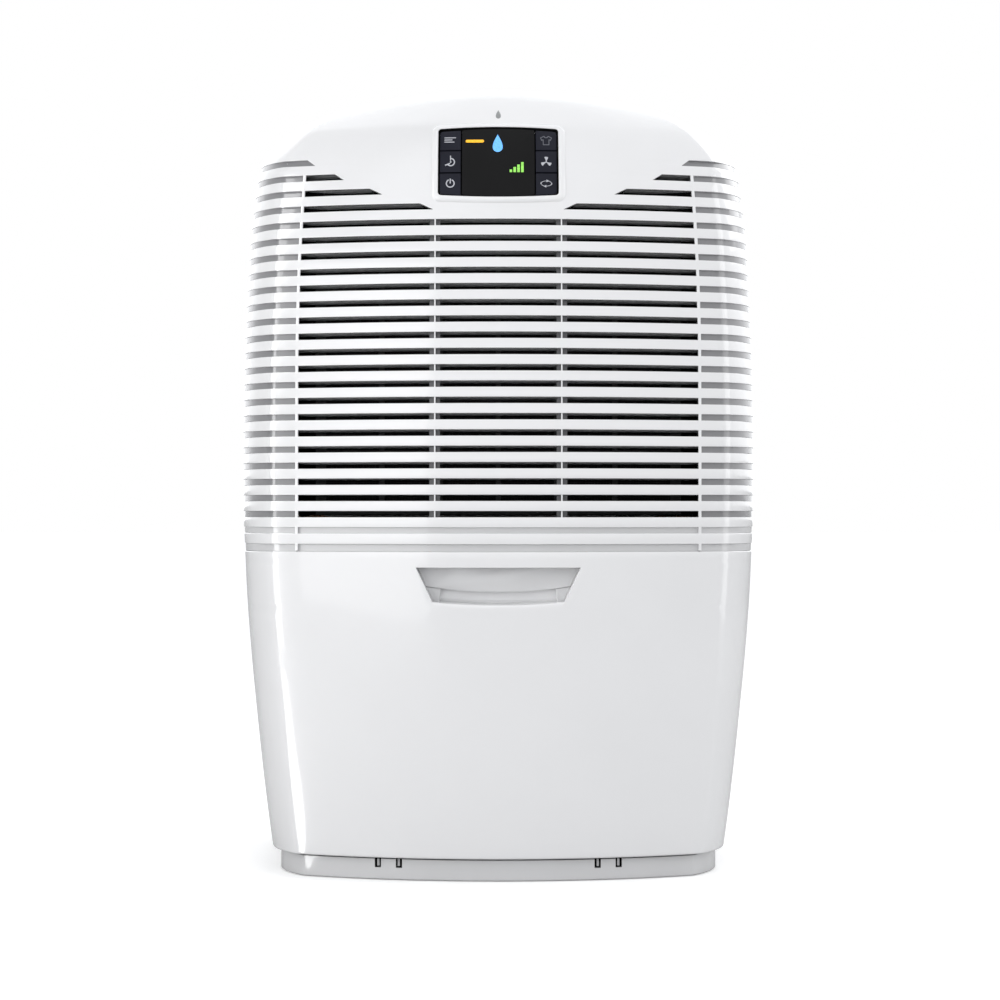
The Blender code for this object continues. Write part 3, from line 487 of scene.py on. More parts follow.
def pipe(name, points, radius, mat, body="casing", replaces=(), per=6, slot=None, route=None):
    curve = bpy.data.curves.new(name, "CURVE")
    curve.dimensions = "3D"
    curve.bevel_depth, curve.bevel_resolution, curve.use_fill_caps = radius * 0.001, 4, True
    line = route or smooth_route(points, per)
    spline = curve.splines.new("POLY")
    spline.points.add(len(line) - 1)
    for point, at in zip(spline.points, line):
        point.co = (*(c * 0.001 for c in at), 1)
    holder = bpy.data.objects.new(name + "_curve", curve)
    bpy.context.scene.collection.objects.link(holder)
    bpy.context.view_layer.update()
    mesh = bpy.data.meshes.new_from_object(holder.evaluated_get(bpy.context.evaluated_depsgraph_get()))
    bpy.data.objects.remove(holder, do_unlink=True)
    mesh.name = name
    return place(name, mesh, mat, body, replaces, 40, False)


def rounded_box_mesh(lo, hi, radius, segments=3):
    bm = bmesh.new()
    size = [(h - l) * 0.001 for l, h in zip(lo, hi)]
    centre = [(h + l) * 0.0005 for l, h in zip(lo, hi)]
    bmesh.ops.create_cube(bm, size=1.0, matrix=Matrix.Translation(centre) @ Matrix.Diagonal((*size, 1)))
    if radius:
        bmesh.ops.bevel(bm, geom=bm.edges[:], offset=radius * 0.001, segments=segments, affect="EDGES", profile=0.5)
    mesh = bpy.data.meshes.new("box")
    bm.to_mesh(mesh)
    bm.free()
    return mesh


def boolean(obj, cutters, operation="DIFFERENCE"):
    """Applies Boolean cuts, then drops the cutters."""
    for cut in cutters:
        mod = obj.modifiers.new("cut", "BOOLEAN")
        mod.operation, mod.solver, mod.object = operation, "EXACT", cut
    bpy.context.view_layer.update()
    mesh = bpy.data.meshes.new_from_object(obj.evaluated_get(bpy.context.evaluated_depsgraph_get()))
    obj.modifiers.clear()
    obj.data = mesh
    for cut in cutters:
        bpy.data.objects.remove(cut, do_unlink=True)
    return obj


def temp(mesh):
    obj = bpy.data.objects.new("temp", mesh)
    bpy.context.scene.collection.objects.link(obj)
    return obj


def cut_box(lo, hi, radius=0.0, segments=3):
    return temp(rounded_box_mesh(lo, hi, radius, segments))


def cut_cyl(centre, radius, length, axis, steps=48):
    bm = bmesh.new()
    rot = {"Z": Matrix(), "Y": Matrix.Rotation(-math.pi / 2, 4, "X"), "X": Matrix.Rotation(math.pi / 2, 4, "Y")}[axis]
    bmesh.ops.create_cone(bm, cap_ends=True, segments=steps, radius1=radius * 0.001, radius2=radius * 0.001,
                          depth=length * 0.001,
                          matrix=Matrix.Translation([c * 0.001 for c in centre]) @ rot @ Matrix.Translation((0, 0, length * 0.0005)))
    mesh = bpy.data.meshes.new("cyl")
    bm.to_mesh(mesh)
    bm.free()
    return temp(mesh)


def grid_shell(cols, rows, outer, inner, is_open):
    """A closed shell of two skins. outer(i, j) and inner(i, j) give points; is_open(i, j) cells are holes."""
    ni, nj = len(cols), len(rows)
    verts = [outer(i, j) for j in range(nj) for i in range(ni)] + [inner(i, j) for j in range(nj) for i in range(ni)]
    half = ni * nj
    faces = []

    def solid(i, j):
        return 0 <= i < ni - 1 and 0 <= j < nj - 1 and not is_open(i, j)

    for j in range(nj - 1):
        for i in range(ni - 1):
            if not solid(i, j):
                continue
            a, b, c, d = j * ni + i, j * ni + i + 1, (j + 1) * ni + i + 1, (j + 1) * ni + i
            faces.append((a, b, c, d))
            faces.append((a + half, d + half, c + half, b + half))
            for (di, dj), (p, q) in (((0, -1), (a, b)), ((1, 0), (b, c)), ((0, 1), (c, d)), ((-1, 0), (d, a))):
                if not solid(i + di, j + dj):
                    faces.append((q, p, p + half, q + half))
    return verts, faces


# ---------------------------------------------------------------- front grille shell
E_REF = 131.4  # reference place of the mullion's inner edge, its outer edge is 2 mm further
REF = Slice.at(300.0)
C_END = REF.of_seam()
INF = 999.0


def c_of_x(x):
    return REF.of_x(x)


def mullion(z):
    return table(MULLION_X, z)


def row_z(k):
    return SLOT_Z0 + (23 - k) * SLOT_PITCH


def build_rows():
    rows = [(GRILLE_Z0, None, INF), (LIP_Z - 0.1, None, INF), (LIP_Z, None, 0.5), (LIP_Z + 0.15, None, 0.15),
            (LIP_Z + 0.6, None, 0.0)]
    for k in range(24, 0, -1):
        z = row_z(k)
        rows += [(z - 3.3, None, 0.0)]
        rows += [(z - 0.5, k, 0.0), (z - 0.14, k, 0.13), (z, k, 0.48), (z + 0.18, k, INF), (z + SLOT_H - 0.18, k, INF),
                 (z + SLOT_H, k, 0.48), (z + SLOT_H + 0.14, k, 0.13), (z + SLOT_H + 0.5, k, 0.0)]
        if k == 4:
            rows.append((445.0, None, 0.0))
    z = row_z(1) + SLOT_H + 2.4
    while z < 520:
        rows.append((z, None, 0.0))
        z += 1.7
    rows += [(z, None, 0.0) for z in (521.2, 522.4, 523.5, 524.5, 525.4, 526.2, 526.9, 527.5, 528.0, 528.4, 528.7)]
    rows = [r for r in rows if abs(r[0] - 495.4) > 0.8] + [(495.4, None, 0.0)]
    return sorted(rows, key=lambda r: r[0])


ROWS = build_rows()
ENDS = {k: c_of_x(sum(v) / 2) for k, v in SLANT.items() if k > 1}
C_E1, C_E2 = c_of_x(E_REF), c_of_x(E_REF) + 2.1
RIB = dict(a=c_of_x(37.9), f0=c_of_x(40.75), f1=c_of_x(41.75), b=c_of_x(44.8))
HOLE_C = c_of_x(39.9)


def build_cols():
    special = [0.0, RIB["a"], HOLE_C, RIB["f0"], RIB["f0"] + 0.12, RIB["f1"] - 0.12, RIB["f1"], RIB["b"]]
    for e in ENDS.values():
        special += [e - 0.5, e - 0.14, e]
    special += [C_E1 - 0.18, C_E1, C_E1 + 0.14, C_E1 + 0.5, C_E2 - 0.5, C_E2 - 0.14, C_E2, C_E2 + 0.18]
    cols = list(special)
    c = 4.5
    while c < C_END - 1.5:
        if min(abs(c - s) for s in special) > 0.9:
            cols.append(c)
        c += 4.5 if c < C_E1 - 5 else 2.4
    cols.append(C_END)
    return sorted(set(round(c, 4) for c in cols))


HALF_COLS = build_cols()
COLS = [-c for c in HALF_COLS[:0:-1]] + HALF_COLS


GROOVE = 2.6


def groove_depth(c):
    """Deepest beside the mullion, shallow where the side faces sideways."""
    t = smooth01((abs(c) - C_E2 - 14) / 34)
    return GROOVE * (1 - t) + 0.75 * t


def col_depth(c, k):
    """How deep slot k lets column c go: 0 on the face, 999 where it is open."""
    c = abs(c)
    near = lambda v: abs(c - v) < 0.01
    groove = 0.0
    if near(C_E2 - 0.14):
        groove = 0.13
    elif near(C_E2):
        groove = 0.48
    elif c > C_E2 + 0.01:
        groove = groove_depth(c)
    if k == 1 or c > C_E1 + 0.6:
        return groove
    if near(C_E1):
        return 0.48
    if near(C_E1 + 0.14):
        return 0.13
    if c > C_E1 + 0.01:
        return 0.0
    if k >= 24:
        return GROOVE
    if k in ENDS:
        e = ENDS[k]
        if c > e + 0.01:
            return INF
        return 0.48 if near(e) else (0.13 if near(e - 0.14) else 0.0)
    if near(RIB["f0"]) or near(RIB["f1"]):
        return 0.55
    if RIB["f0"] < c < RIB["f1"]:
        return 0.3
    return INF


def arc_of(c, z, k):
    """Arc length at height z of canonical column c (positive side)."""
    sl = Slice.at(round(z, 3))
    length = sl.of_seam()
    ratio = c / C_END * length
    if z > 514:
        return ratio
    m = mullion(z)
    lo, hi = m - 1.0, m + 1.0
    if k == 1:
        t = min(max((z - row_z(1)) / SLOT_H, 0), 1)
        hi = SLANT[1][0] + t * (SLANT[1][1] - SLANT[1][0])
        lo = hi - 2.0
    anchors = [(0.0, 0.0)]
    if k in ENDS:
        t = min(max((z - row_z(k)) / SLOT_H, 0), 1)
        if k != 4:
            anchors += [(c_of_x(46.0), sl.of_x(46.0))]
        anchors.append((ENDS[k], sl.of_x(SLANT[k][0] + t * (SLANT[k][1] - SLANT[k][0]))))
    else:
        anchors += [(c_of_x(37.0), sl.of_x(37.0)), (HOLE_C, sl.of_x(39.9)), (c_of_x(46.0), sl.of_x(46.0))]
    side, mid = smooth01((z - 477) / 22), smooth01((z - 496) / 18)
    anchors = [(ca, sa + (ca / C_END * length - sa) * mid) for ca, sa in anchors]
    anchors += [(ca, sa + (ca / C_END * length - sa) * side) for ca, sa in ((C_E1, sl.of_x(lo)), (C_E2, sl.of_x(hi)))]
    anchors.append((C_END, length))
    for (ca, sa), (cb, sb) in zip(anchors, anchors[1:]):
        if c <= cb + 1e-9:
            exact = sa + (sb - sa) * (c - ca) / (cb - ca)
            break
    else:
        exact = length
    return exact


def inner_depth(c, z):
    c = abs(c)
    if z < 230.5:
        return 6.5
    if z < 476 and c < C_E2 + 1.0 and not (c < HALF_COLS[-1] and 443.5 < z < 476 and c < c_of_x(60)):
        return LOUVRE_T
    return WALL


def grille_point(i, j, depth):
    c, (z, k, _) = COLS[i], ROWS[j]
    s = arc_of(abs(c), z, k)
    sl = Slice.at(round(z, 3))
    p = sl.point(s)
    flat = sl.across(s)
    if z > 478:
        n = flat.lerp(full_normal(round(z, 3), s), smooth01((z - 478) / 12)).normalized()
    else:
        n = flat
    if z < 474 and abs(c) < C_E2 + 0.2:
        straight = max(depth - 0.5, 0)
        p = p - n * (depth - straight) + Vector((0, straight, 0))
    else:
        p = p - n * depth
    return Vector((-p.x if c < 0 else p.x, p.y, p.z))


def grille_outer(i, j):
    z, k, row_depth = ROWS[j]
    if k is None:
        return grille_point(i, j, min(row_depth, col_depth(COLS[i], 25)) if z < LIP_Z + 0.3 else row_depth)
    depth = min(row_depth, col_depth(COLS[i], k))
    return grille_point(i, j, min(depth, LOUVRE_T))


def grille_inner(i, j):
    return grille_point(i, j, inner_depth(COLS[i], ROWS[j][0]))


def grille_open(i, j):
    mid = (abs(COLS[i]) + abs(COLS[i + 1])) / 2
    z = (ROWS[j][0] + ROWS[j + 1][0]) / 2
    if mid < HOLE_C and 445.0 < z < 495.4:
        return True
    k = ROWS[j][1]
    if k is None or ROWS[j + 1][1] != k or k in (1, 24):
        return False
    if not row_z(k) < z < row_z(k) + SLOT_H:
        return False
    if mid > C_E1:
        return False
    if k in ENDS:
        return mid > ENDS[k]
    return not RIB["f0"] < mid < RIB["f1"]


verts, faces = grid_shell(COLS, ROWS, grille_outer, grille_inner, grille_open)
grille = make("front_shell", verts, faces, "white_grille", replaces=("front_grille",), angle=40)



def shade_strips(name, spans, mat, fall=lambda k: 0.0):
    """Strips laid along the slots, coloured as painted shade; spans are (slot, z0, z1, c0, c1, depth or None for the
    groove's own, thickness).
    """
    verts, faces = [], []
    for k, z0, z1, c0, c1, depth, thick in spans:
        for side in (-1, 1):
            steps = max(3, int(abs(c1 - c0) / 3))
            base = len(verts)
            for n in range(steps + 1):
                c = c0 + (c1 - c0) * n / steps
                near = groove_depth(c) - 0.3 if depth is None else depth
                for z, d in ((z0, near), (z1, near), (z1 - fall(k), near + thick), (z0 - fall(k), near + thick)):
                    sl = Slice.at(round(z, 3))
                    s = arc_of(c, z, k)
                    if depth is not None and c < C_E2:
                        p = sl.point(s) + Vector((0, d, 0))
                    else:
                        p = sl.point(s) - sl.across(s) * d
                    verts.append(Vector((side * p.x, p.y, p.z)))
            for n in range(steps):
                faces += ring_faces(base + 4 * n, base + 4 * n + 4, 4)
            faces += [(base, base + 1, base + 2, base + 3), tuple(base + 4 * steps + q for q in (3, 2, 1, 0))]
    return make(name, verts, faces, mat, angle=30, weighted=False)


# Painted shade: grey strips on the floors of the blind side grooves.
shade_strips("groove_painted_shade", [(k, row_z(k) + 0.15, row_z(k) + SLOT_H - 0.15, C_E2 + 0.25, C_END - 0.2, None, 0.25) for k in range(1, 24)],
      "liner_grey")
# Painted shade, paler: strips in the shallow grooves of rows 24 and 25.
low = [(24, row_z(24) + 0.15, row_z(24) + SLOT_H - 0.15, 0.0, C_E1 - 0.3, GROOVE - 0.3, 0.25),
       (24, row_z(24) + 0.15, row_z(24) + SLOT_H - 0.15, C_E2 + 0.25, C_END - 0.2, None, 0.25),
       (25, TANK_Z1 + 0.08, LIP_Z - 0.12, 0.0, C_E1 - 0.3, GROOVE - 0.3, 0.25),
       (25, TANK_Z1 + 0.08, LIP_Z - 0.12, C_E2 + 0.25, C_END - 0.2, None, 0.25)]
shade_strips("groove_painted_shade_low", low, "liner_pale")
# Painted shade: dark strips just behind the slot openings on each side of the vertical rib.
shade_strips("rib_slot_painted_shade", [(k, row_z(k) + 0.1, row_z(k) + SLOT_H - 0.1, a, b, 3.8, 0.6) for k in range(5, 24)
                     for a, b in ((RIB["a"], RIB["f0"] - 0.02), (RIB["f1"] + 0.02, RIB["b"]))], "liner_dark")
# Each louvre's underside leans down towards the filter, less so on the lowest three; its grey is painted shade on the
# white blade.
shade_strips("louvre_roofs", [(k, row_z(k) + SLOT_H + 0.02, row_z(k) + SLOT_H + 0.9, ENDS.get(k, 0.0), C_E1 - 0.1, LOUVRE_T - 0.3, 8.0)
                       for k in range(2, 24)], "roof_grey", lambda k: {21: 0.8, 22: 0.35, 23: 0.0}.get(k, 1.15))

# ---------------------------------------------------------------- tank front with its finger recess
REC_C = c_of_x(48.1)
REC_Z0, REC_Z1 = 182.4, 204.5
BULGE = 1.9


def tank_rows():
    rows = [(TANK_Z0, "e", 1.1), (TANK_Z0 + 0.25, "e", 0.5), (TANK_Z0 + 0.8, "e", 0.15), (TANK_Z0 + 1.6, None, 0.0)]
    z = 22.0
    while z < REC_Z0 - 6:
        rows.append((z, None, 0.0))
        z += 5.0
    rows += [(REC_Z0 - 4.0, "p", 0.0), (REC_Z0 - 1.3, "r", 0.0), (REC_Z0 - 0.7, "r", 0.14), (REC_Z0 - 0.25, "r", 0.5), (REC_Z0, "r", 1.1)]
    rows += [(REC_Z0 + t * (REC_Z1 - REC_Z0) / 6, "m", INF) for t in range(1, 6)]
    rows += [(REC_Z1, "t", 0.5), (REC_Z1 + 0.14, "t", 0.13), (REC_Z1 + 0.5, "t", 0.0), (REC_Z1 + 3.5, None, 0.0), (210.5, None, 0.0)]
    rows += [(TANK_Z1 - 0.9, "e", 0.0), (TANK_Z1 - 0.3, "e", 0.14), (TANK_Z1, "e", 0.6)]
    return rows


TROWS = tank_rows()


def tank_cols():
    special = [0.0, REC_C, REC_C + 0.14, REC_C + 0.5, REC_C + 5]
    cols = list(special)
    c = 4.0
    while c < C_END - 1.5:
        if min(abs(c - s) for s in special) > 0.9:
            cols.append(c)
        c += 4.0 if c < C_E1 - 5 else 2.4
    return sorted(set(round(c, 4) for c in cols + [C_END]))


TH = tank_cols()
TCOLS = [-c for c in TH[:0:-1]] + TH


def rec_edge(z):
    t = (z - REC_Z0) / (REC_Z1 - REC_Z0)
    return 43.0 + min(max(t, -0.15), 1.02) * 10.5


def tank_point(i, j, depth):
    c, (z, kind, _) = abs(TCOLS[i]), TROWS[j]
    drop = 0.0
    if kind in ("p", "r"):
        drop = BULGE * max(0.0, 1 - (c / REC_C) ** 2) * (0.5 if kind == "p" else 1.0)
    elif kind == "m":
        drop = BULGE * max(0.0, 1 - (c / REC_C) ** 2) * (REC_Z1 - z) / (REC_Z1 - REC_Z0)
    zz = z - drop
    sl = Slice.at(round(zz, 2))
    length = sl.of_seam()
    edge = sl.of_x(rec_edge(z)) if kind in ("r", "m", "t", "p") else sl.of_x(48.1)
    if c <= REC_C:
        s = c / REC_C * edge
    else:
        s = edge + (length - edge) * (c - REC_C) / (C_END - REC_C)
    p = sl.point(s) - sl.across(s) * depth
    return Vector((-p.x if TCOLS[i] < 0 else p.x, p.y, zz))


def tank_outer(i, j):
    z, kind, row_depth = TROWS[j]
    c = abs(TCOLS[i])
    if kind in ("r", "t", "m"):
        col = INF if c < REC_C - 0.01 else (0.5 if abs(c - REC_C) < 0.01 else (0.13 if abs(c - REC_C - 0.14) < 0.01 else 0.0))
        return tank_point(i, j, min(row_depth, col, WALL))
    return tank_point(i, j, row_depth)


def tank_open(i, j):
    mid = (abs(TCOLS[i]) + abs(TCOLS[i + 1])) / 2
    z = (TROWS[j][0] + TROWS[j + 1][0]) / 2
    return mid < REC_C and REC_Z0 < z < REC_Z1


verts, faces = grid_shell(TCOLS, TROWS, tank_outer, lambda i, j: tank_point(i, j, WALL), tank_open)


def recess_outline(inset, drop_scale=1.0, floor=0.0):
    """The opening's outline, shrunk by inset, as (x, z)."""
    zb, zt = REC_Z0 + inset + floor, REC_Z1 - inset
    n = 14
    bottom = [(-1 + 2 * i / n) for i in range(n + 1)]
    eb, et = rec_edge(zb) - inset, rec_edge(zt) - inset
    points = [(u * eb, zb - BULGE * drop_scale * (1 - u * u)) for u in bottom]
    points += [(eb + (et - eb) * t / 5, zb + (zt - zb) * t / 5) for t in range(1, 6)]
    points += [(et * (1 - 2 * i / n), zt) for i in range(1, n)]
    points += [(-et - (eb - et) * t / 5, zt + (zb - zt) * t / 5) for t in range(0, 5)]
    return points


def recess_ring(inset, depth, **more):
    out = []
    for x, z in recess_outline(inset, **more):
        p, _ = front_at(x, z)
        flat_y = -HALF_D + depth
        follow = max(0.0, 1 - (depth - 2.6) / 12)
        out.append(Vector((x, p.y + depth if follow >= 1 else (p.y + depth) * follow + flat_y * (1 - follow), z)))
    return out


liner_rings = [recess_ring(-0.02, 2.6), recess_ring(0.1, 6), recess_ring(0.25, 12), recess_ring(0.5, 18), recess_ring(0.9, 20.5),
               recess_ring(1.7, 21.6), recess_ring(3.2, 22.0)]
lv, lf = stack(liner_rings, cap_start=False, cap_end=True, fan=True)
count, start = len(liner_rings[0]), len(lv)
for ring in (recess_ring(-2.2, 2.7), recess_ring(-2.2, 24.4)):
    lv += ring
lf += [(i, start + i, start + (i + 1) % count, (i + 1) % count) for i in range(count)]
lf += ring_faces(start, start + count, count)
lv.append(sum((Vector(v) for v in lv[-count:]), Vector()) / count)
lf += [(start + count + i, start + count + (i + 1) % count, len(lv) - 1) for i in range(count)]
tank_face = make("tank_face", verts, faces, "white_abs", body="tank", replaces=("tank_front",), angle=40)
finger_cup = make("finger_cup", lv, lf, "white_abs", body="tank", angle=50)



def ledge_z(x):
    return 188.5 + 3.6 * (x / 46.5) ** 2


def side_x(z, inset=0.35):
    return rec_edge(z) - inset


def recess_block(name, points, front, back=21.9, edge=0.45):
    """A block that fills part of the recess, in a white greyed as painted shade; points run round its outline (x, z).
    """
    cx, cz = sum(p[0] for p in points) / len(points), sum(p[1] for p in points) / len(points)

    def ring(inset, depth):
        out = []
        for x, z in points:
            d = math.hypot(x - cx, z - cz)
            f = 1 - inset / max(d, 1)
            x, z = cx + (x - cx) * f, cz + (z - cz) * f
            out.append(Vector((x, -HALF_D + arc_s(abs(x), PLAN_R) + depth, z)))
        return out

    rings = [ring(0, back), ring(0, front + edge), ring(edge * 0.3, front + edge * 0.35), ring(edge, front)]
    verts, faces = stack(rings, fan=False)
    make(name, verts, faces, "recess_white", body="tank", angle=30, weighted=False)


n = 30
arc = [(u * side_x(ledge_z(46.5)) / n, ledge_z(u * side_x(ledge_z(46.5)) / n)) for u in range(-n, n + 1)]
top_edge = REC_Z1 - 0.1
recess_block("recess_upper", arc + [(side_x(z), z) for z in (195, 198, 201, top_edge)]
             + [(side_x(top_edge) * (1 - 2 * i / 12), top_edge) for i in range(1, 12)]
             + [(-side_x(z), z) for z in (top_edge, 201, 198, 195)], 13.5)
for side in (-1, 1):
    bottom = lambda x: REC_Z0 + 0.35 - BULGE * (1 - (x / 43.0) ** 2)
    points = [(38.4, bottom(38.4)), (40.6, bottom(40.6)), (side_x(bottom(42.5) + 0.1), bottom(42.5) + 0.1),
              (side_x(187), 187), (side_x(ledge_z(46.5) - 0.15), ledge_z(46.5) - 0.15), (42, ledge_z(42) - 0.1), (37.6, ledge_z(37.6) - 0.1)]
    recess_block(f"recess_cheek_{'left' if side < 0 else 'right'}", [(side * x, z) for x, z in (points if side > 0 else points[::-1])], 14.6)

# ---------------------------------------------------------------- rear housing
LEVELS = [15.0, 15.4, 16.2] + [22 + 6 * i for i in range(75)] + [472 + 2.2 * i for i in range(22)] \
    + [520.5, 522, 523.4, 524.7, 525.9, 527, 528, 528.9, 529.7, 530.4, 531, 531.4, 531.7, 531.9]
LEVELS = sorted(z for z in LEVELS if z < 532)
EDGE_IN = {15.0: 0.8, 15.4: 0.25}
samples = 220
verts, faces = [], []
for z in LEVELS:
    sl = Slice.at(round(z, 3))
    half = sl.s[-1]
    for i in range(samples):
        s = 2 * half * i / samples
        mirrored = s > half
        s = 2 * half - s if mirrored else s
        p = sl.point(s) - sl.across(s) * EDGE_IN.get(z, 0.0)
        verts.append(Vector((-p.x if mirrored else p.x, p.y, p.z)))
for k in range(len(LEVELS) - 1):
    faces += ring_faces(k * samples, (k + 1) * samples, samples)
verts.append(Vector((0, 0, CREST)))
top = (len(LEVELS) - 1) * samples
faces += [(top + i, top + (i + 1) % samples, len(verts) - 1) for i in range(samples)]
mesh = bpy.data.meshes.new("rear_skin")
mesh.from_pydata([tuple(c * 0.001 for c in v) for v in verts], [], faces)
bm = bmesh.new()
bm.from_mesh(mesh)
bmesh.ops.recalc_face_normals(bm, faces=bm.faces[:])
bmesh.ops.bisect_plane(bm, geom=bm.verts[:] + bm.edges[:] + bm.faces[:], plane_co=(0, (SEAM_Y + 0.15) * 0.001, 0),
                       plane_no=(0, -1, 0), clear_outer=True, dist=1e-7)
bm.to_mesh(mesh)
bm.free()
rear = temp(mesh)
solid = rear.modifiers.new("solid", "SOLIDIFY")
solid.thickness, solid.offset = WALL * 0.001, -1.0
boolean(rear, [])
OUT_X, OUT_Z = 95.0, (290.0, 430.0)
duct = cut_box((-OUT_X - 3, 148, OUT_Z[0] - 3), (OUT_X + 3, 160.2, OUT_Z[1] + 3), 2)
boolean(rear, [duct], "UNION")
boolean(rear, [cut_box((-OUT_X, 130, OUT_Z[0]), (OUT_X, 190, OUT_Z[1]), 3), cut_box((-55, 120, 452), (55, 190, 478), 4),
               cut_cyl((-105, 140, 48), 7.3, 40, "Y"), cut_cyl((95, 140, 232), 8.9, 40, "Y")]
        + [cut_cyl((sx * 118, 140, z), 2.3, 40, "Y", 24) for sx in (-1, 1) for z in (120, 262)])
rear_mesh = rear.data
bpy.data.objects.remove(rear, do_unlink=True)
rear_shell = place("rear_shell", rear_mesh, "white_abs", "casing", ("rear_housing",), angle=32)

# ---------------------------------------------------------------- plinth
PL_A, PL_D = 147.0, HALF_D - 11.0


def plinth_ring(z, grow):
    half = [((PL_A + grow) * x, (PL_D + grow) * y) for x, y in UNIT]
    loop = half + [(-x, y) for x, y in half[-2:0:-1]]
    return [Vector((x, y, z)) for x, y in loop]


verts, faces = stack([plinth_ring(0.4, -1.0), plinth_ring(0.5, -0.6), plinth_ring(0.8, -0.22), plinth_ring(1.3, 0.0),
                      plinth_ring(3.5, 0.0), plinth_ring(7.0, 0.0), plinth_ring(10.5, 0.0), plinth_ring(13.4, 0.0),
                      plinth_ring(13.85, -0.15), plinth_ring(14.0, -0.6)])
mesh = bpy.data.meshes.new("plinth")
mesh.from_pydata([tuple(c * 0.001 for c in v) for v in verts], [], faces)
bm = bmesh.new()
bm.from_mesh(mesh)
bmesh.ops.recalc_face_normals(bm, faces=bm.faces[:])
bm.to_mesh(mesh)
bm.free()
plinth = temp(mesh)
NOTCH = (-78.8, -64.9, 64.9, 78.8)
boolean(plinth, [cut_box((x - 2.05, -175, 8.2), (x + 2.05, -136.5, 30), 0.25, 2) for x in NOTCH]
        + [cut_cyl((sx * 108, sy * 118, -5), 12, 9.2, "Z") for sx in (-1, 1) for sy in (-1, 1)])
plinth_mesh = plinth.data
bpy.data.objects.remove(plinth, do_unlink=True)
place("plinth_shell", plinth_mesh, "grey_base", "casing", ("base_plinth",), angle=35)
# Dark spring tongues seen inside the notches, in front of black wells that are painted shade.
for number, x in enumerate(NOTCH):
    sign = -1 if x in (NOTCH[0], NOTCH[2]) else 1
    y = -150.0 + arc_s(abs(x), 300)
    mesh = rounded_box_mesh((x - 1.95, y - 0.5, 8.4), (x + 1.95, y + 8, 13.8), 0.2, 2)
    place(f"notch_shadow_well_{number}", mesh, "void_black", "casing", angle=40)
    mesh = rounded_box_mesh((x - sign * 0.1 - (0.9 if sign > 0 else 0.7), y - 3.2, 9.1),
                            (x - sign * 0.1 + (0.7 if sign > 0 else 0.9), y + 1, 13.7), 0.2, 2)
    place(f"notch_tongue_{number}", mesh, "grey_base", "casing", angle=40)
for name, sx, sy in (("front_left", -1, -1), ("front_right", 1, -1), ("rear_left", -1, 1), ("rear_right", 1, 1)):
    lathe(f"pad_{name}", (sx * 108, sy * 118, 0), [(0, 0), (7.6, 0), (8.4, 0.25), (8.7, 0.9), (11.5, 3.5), (11.3, 3.8), (0, 3.8)],
          "Z", "rubber", replaces=(f"foot_{name}",))

# ---------------------------------------------------------------- control panel


def outline(x_half, z_range, bulge, corner, x_centre=0.0, fine=6):
    lo, hi = z_range
    zc, zh = (lo + hi) / 2, (hi - lo) / 2
    points = []
    edge = 10
    for sx, sz, start in ((1, -1, -90), (1, 1, 0), (-1, 1, 90), (-1, -1, 180)):
        for k in range(fine + 1):
            angle = math.radians(start + 90 * k / fine)
            points.append((sx * (x_half - corner) + corner * math.cos(angle), sz * (zh - corner) + corner * math.sin(angle)))
        if (sx, sz) == (1, 1) or (sx, sz) == (-1, -1):
            points += [(-sx * (x_half - corner) * (2 * k / edge - 1), sz * zh) for k in range(1, edge)]
        else:
            points += [(sx * x_half, -sx * -1 * 0 + (zh - corner) * (2 * k / 4 - 1) * (1 if sx > 0 else -1)) for k in range(1, 4)]
    out = []
    for x, z in points:
        lift = bulge * (1 - (x / x_half) ** 2) * (z / zh)
        out.append((x_centre + x, zc + z + lift))
    return out


def on_front(points, w):
    out = []
    for x, z in points:
        p, n = front_at(x, z)
        out.append(p + n * w)
    return out


def scaled(points, inset):
    xs, zs = [p[0] for p in points], [p[1] for p in points]
    xc, zc = (min(xs) + max(xs)) / 2, (min(zs) + max(zs)) / 2
    fx = 1 - inset / ((max(xs) - min(xs)) / 2)
    fz = 1 - inset / ((max(zs) - min(zs)) / 2)
    return [(xc + (x - xc) * fx, zc + (z - zc) * fz) for x, z in points]


def shrunk(points, factor):
    xs, zs = [p[0] for p in points], [p[1] for p in points]
    xc, zc = (min(xs) + max(xs)) / 2, (min(zs) + max(zs)) / 2
    return [(xc + (x - xc) * factor, zc + (z - zc) * factor) for x, z in points]


def pad(name, points, profile, mat, body="casing", replaces=(), crown=0.0, angle=40):
    """A cap whose face follows the casing: profile is (w, inset) from the back to the face."""
    rings = [on_front(scaled(points, inset), w) for w, inset in profile]
    w, inset = profile[-1]
    last = scaled(points, inset)
    for f in (0.85, 0.6, 0.35, 0.12):
        rings.append(on_front(shrunk(last, f), w + crown * (1 - f * f)))
    verts, faces = stack(rings, fan=True)
    return make(name, verts, faces, mat, body, replaces, angle)


inner_edge = outline(WINDOW_HALF, WINDOW_Z, 1.4, 2.0)
outer_edge = outline(PANEL_HALF, PANEL_Z, 1.4, 5.0)


def between(t):
    return [(a[0] + (b[0] - a[0]) * t, a[1] + (b[1] - a[1]) * t) for a, b in zip(inner_edge, outer_edge)]


